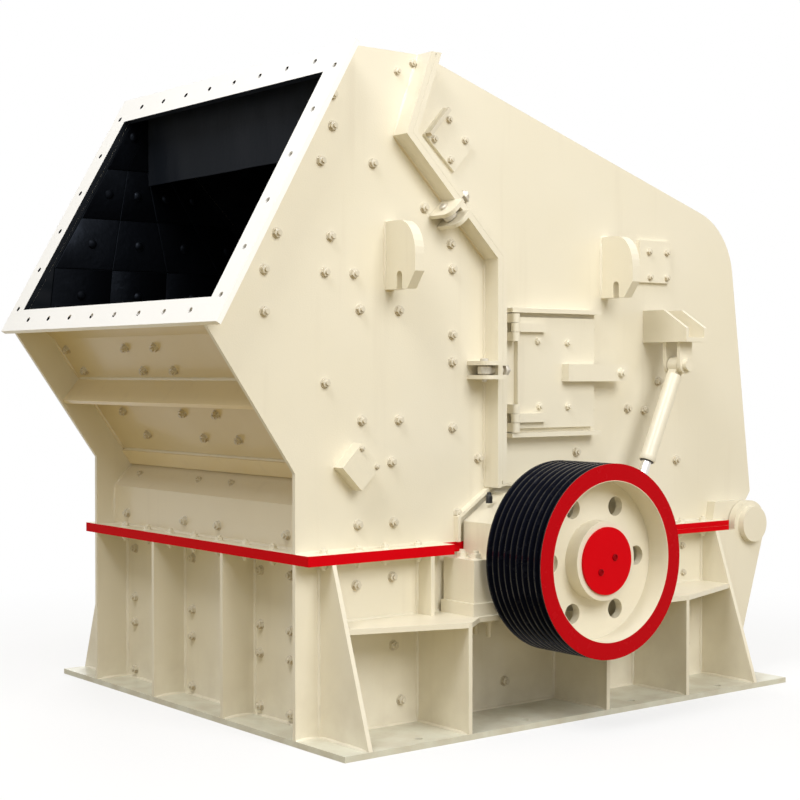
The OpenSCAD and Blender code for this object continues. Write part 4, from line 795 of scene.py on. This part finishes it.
cover_long, cover_short = np.array([0.743, -0.669]), np.array([0.669, 0.743])
cover_spots = [cover + cover_long * a + cover_short * b for a in (-0.062, 0.062) for b in (-0.062, 0.062)]
shells += on_walls(small_nut, cover_spots, 0.891)
edge = cover - cover_long * 0.104
for side in (-1, 1):
    ring = np.array([(-0.009, 0.885), (0.009, 0.885), (0.009, 0.925), (-0.009, 0.925)])[::-side]
    ledge = [np.insert(edge + cover_short * b + cover_long * ring[:, :1], 1, side * ring[:, 1], axis=1)
             for b in (-0.080, 0.080)]
    shells.append(loft(np.array(ledge)))
piece("rear_nuts", shells, shaded_nut_enamel, "rear_housing")

rear_lug_x = 0.404
bracket_front, bracket_rear = 0.694, 0.839
door_front, door_rear, door_low, door_high = -0.225, 0.341, 1.250, 1.835
seams = []
for side in (-1, 1):
    wall, out = side * wall_y, (0, side, 0)
    seams += lug_welds(rear_lug_x, side)
    seams.append(weld((0.320, wall, tip_flange_top), (1.150, wall, tip_flange_top), out, (0, 0, 1)))
    for z, way in ((1.690, (0, 0, -1)), (1.712, (0, 0, 1))):
        seams.append(weld((bracket_front, wall, z), (bracket_rear, wall, z), way, out))
    for x, low_z, high_z, way in ((door_front, door_low, door_low, (0, 0, -1)),
                                  (door_rear, door_low, door_high, (1, 0, 0)),
                                  (door_front, door_high, door_high, (0, 0, 1))):
        seams.append(weld((x, wall, low_z), (door_rear, wall, high_z), way, out, 0.006))
    for start, end in (((-0.280, 1.060), (-0.280, 2.072)), ((-0.295, 2.088), (-0.797, 2.581))):
        seams.append(split_weld(start, end, side, 1))
piece("rear_welds", seams, cream_enamel, "rear_housing")

# ---------------------------------------------------------------- access doors
# A plate door a side hangs on two strap hinges. A hasp with a nut on its end reaches past the free edge,
# four bolts hold the door's own liner, and three screws stand on the frame beside that edge.

repaint(cream_enamel, "access_door_near", "access_door_far")
for name, side in (("near", -1), ("far", 1)):
    out = (0, side, 0)
    liner = [(-0.048, 1.687), (0.139, 1.682), (-0.038, 1.389), (0.142, 1.386)]
    shells = [placed(small_nut, [(x, side * 0.920, z) for x, z in liner], out),
              placed(liner_nut, [(0.449, side * 0.965, 1.5425)], out)]
    piece("door_bolts_" + name, shells, cream_enamel, "door_" + name)
edge_screws = on_walls(nut(0.012), [(0.328, z) for z in (1.752, 1.620, 1.371)], 0.895)
piece("door_frame_screws", edge_screws, cream_enamel, "rear_housing")

# ---------------------------------------------------------------- tipping cylinders
# A hydraulic cylinder a side tips the rear housing: it hangs from a gusseted bracket and stands on a
# foot on the frame. A cream gland with a black seal closes the barrel's end, and the piston rod is hard
# chromed.

repaint(cream_enamel, "cylinder_brackets", "cylinder_feet", "cylinder_barrel_near", "cylinder_barrel_far")
chrome = Coat("chromed_rod", metallic=0.85)
draw_marks = chrome.noise(20.0, 2.0)
repaint(chrome.finish((0.80, 0.78, 0.74, 1), 0.22 + draw_marks * 0.12, None, draw_marks, depth=0.0003),
        "cylinder_rod_near", "cylinder_rod_far")
top = np.array([0.760, 0.0, 1.580])
thrust = np.array([-0.375, 0.0, -0.805]) / math.hypot(0.375, 0.805)
gland = ((0.0365, 0.478), (0.040, 0.480), (0.040, 0.498), (0.037, 0.503), (0.0285, 0.503), (0.0285, 0.499))
seal = ((0.0330, 0.5025), (0.0330, 0.505), (0.0310, 0.507), (0.0265, 0.507), (0.0265, 0.5025))
cylinder_y = 1.040
for name, side in (("near", -1), ("far", 1)):
    place = top + (0, side * cylinder_y, 0)
    piece("gland_" + name, [turned(gland, place, thrust, 40)], cream_enamel, "barrel_" + name)
    piece("rod_seal_" + name, [turned(seal, place, thrust, 40)], plug_black, "barrel_" + name)

# ---------------------------------------------------------------- rear hinge
# The rear housing turns on a pin a side. Its own ear, of thick plate, lies inside the frame's ear, and the
# pin ends outside both in a wide, plain head.

repaint(cream_enamel, "lower_hinge_ears", "rear_hinge_ears")

# ---------------------------------------------------------------- studio floor and air
# A wide sheet of pale paper. To the camera it is half lit paper and half plain white near the machine,
# so that a soft shadow lies on it, and all white farther off, like the air behind it.

floor_mesh = bpy.data.meshes.new("studio_floor")
reach = 60.0
corners = [(-reach, -reach, 0), (reach, -reach, 0), (reach, reach, 0), (-reach, reach, 0)]
floor_mesh.from_pydata(corners, [], [(0, 1, 2, 3)])
studio_floor = bpy.data.objects.new("studio_floor", floor_mesh)
scene.collection.objects.link(studio_floor)

paper = Coat("studio_paper", roughness=0.9)
seen = paper.add("ShaderNodeLightPath", {}, {}, out="Is Camera Ray")
seen = seen.math("ADD", paper.add("ShaderNodeLightPath", {}, {}, out="Is Glossy Ray"))
seen = seen.math("ADD", paper.add("ShaderNodeLightPath", {}, {}, out="Is Transmission Ray"), clamp=True)
away = paper.add("ShaderNodeVectorMath", {"operation": "LENGTH"}, {0: paper.place}, out="Value")
glow = paper.add("ShaderNodeEmission", {}, {"Color": (1, 1, 1, 1), "Strength": 1.0})
paper.finish(paper.tint(seen, (0.33, 0.26, 0.11, 1), (0.88, 0.88, 0.88, 1)))
blank = seen * (0.7 + away.above(3.3, 2.0) * 0.3)
sheet = paper.add("ShaderNodeMixShader", {}, {0: blank, 2: glow})
paper.tree.links.new(paper.shader.outputs[0], sheet.socket.node.inputs[1])
paper.tree.links.new(sheet.socket, paper.tree.nodes["Material Output"].inputs["Surface"])
floor_mesh.materials.append(paper.material)

world = bpy.data.worlds.new("studio_air")
scene.world = world
world.use_nodes = True
nodes, links = world.node_tree.nodes, world.node_tree.links
air = nodes["Background"]
air.inputs["Color"].default_value = (1.0, 0.965, 0.89, 1)
air.inputs["Strength"].default_value = 0.43
white = nodes.new("ShaderNodeBackground")
white.inputs["Color"].default_value = (1, 1, 1, 1)
rays = nodes.new("ShaderNodeLightPath")
shown = rays.outputs["Is Camera Ray"]
for ray in ("Is Transmission Ray", "Is Glossy Ray"):
    either = nodes.new("ShaderNodeMath")
    either.operation, either.use_clamp = "ADD", True
    links.new(shown, either.inputs[0])
    links.new(rays.outputs[ray], either.inputs[1])
    shown = either.outputs[0]
choose = nodes.new("ShaderNodeMixShader")
for number, socket in enumerate((shown, air.outputs[0], white.outputs[0])):
    links.new(socket, choose.inputs[number])
links.new(choose.outputs[0], nodes["World Output"].inputs["Surface"])
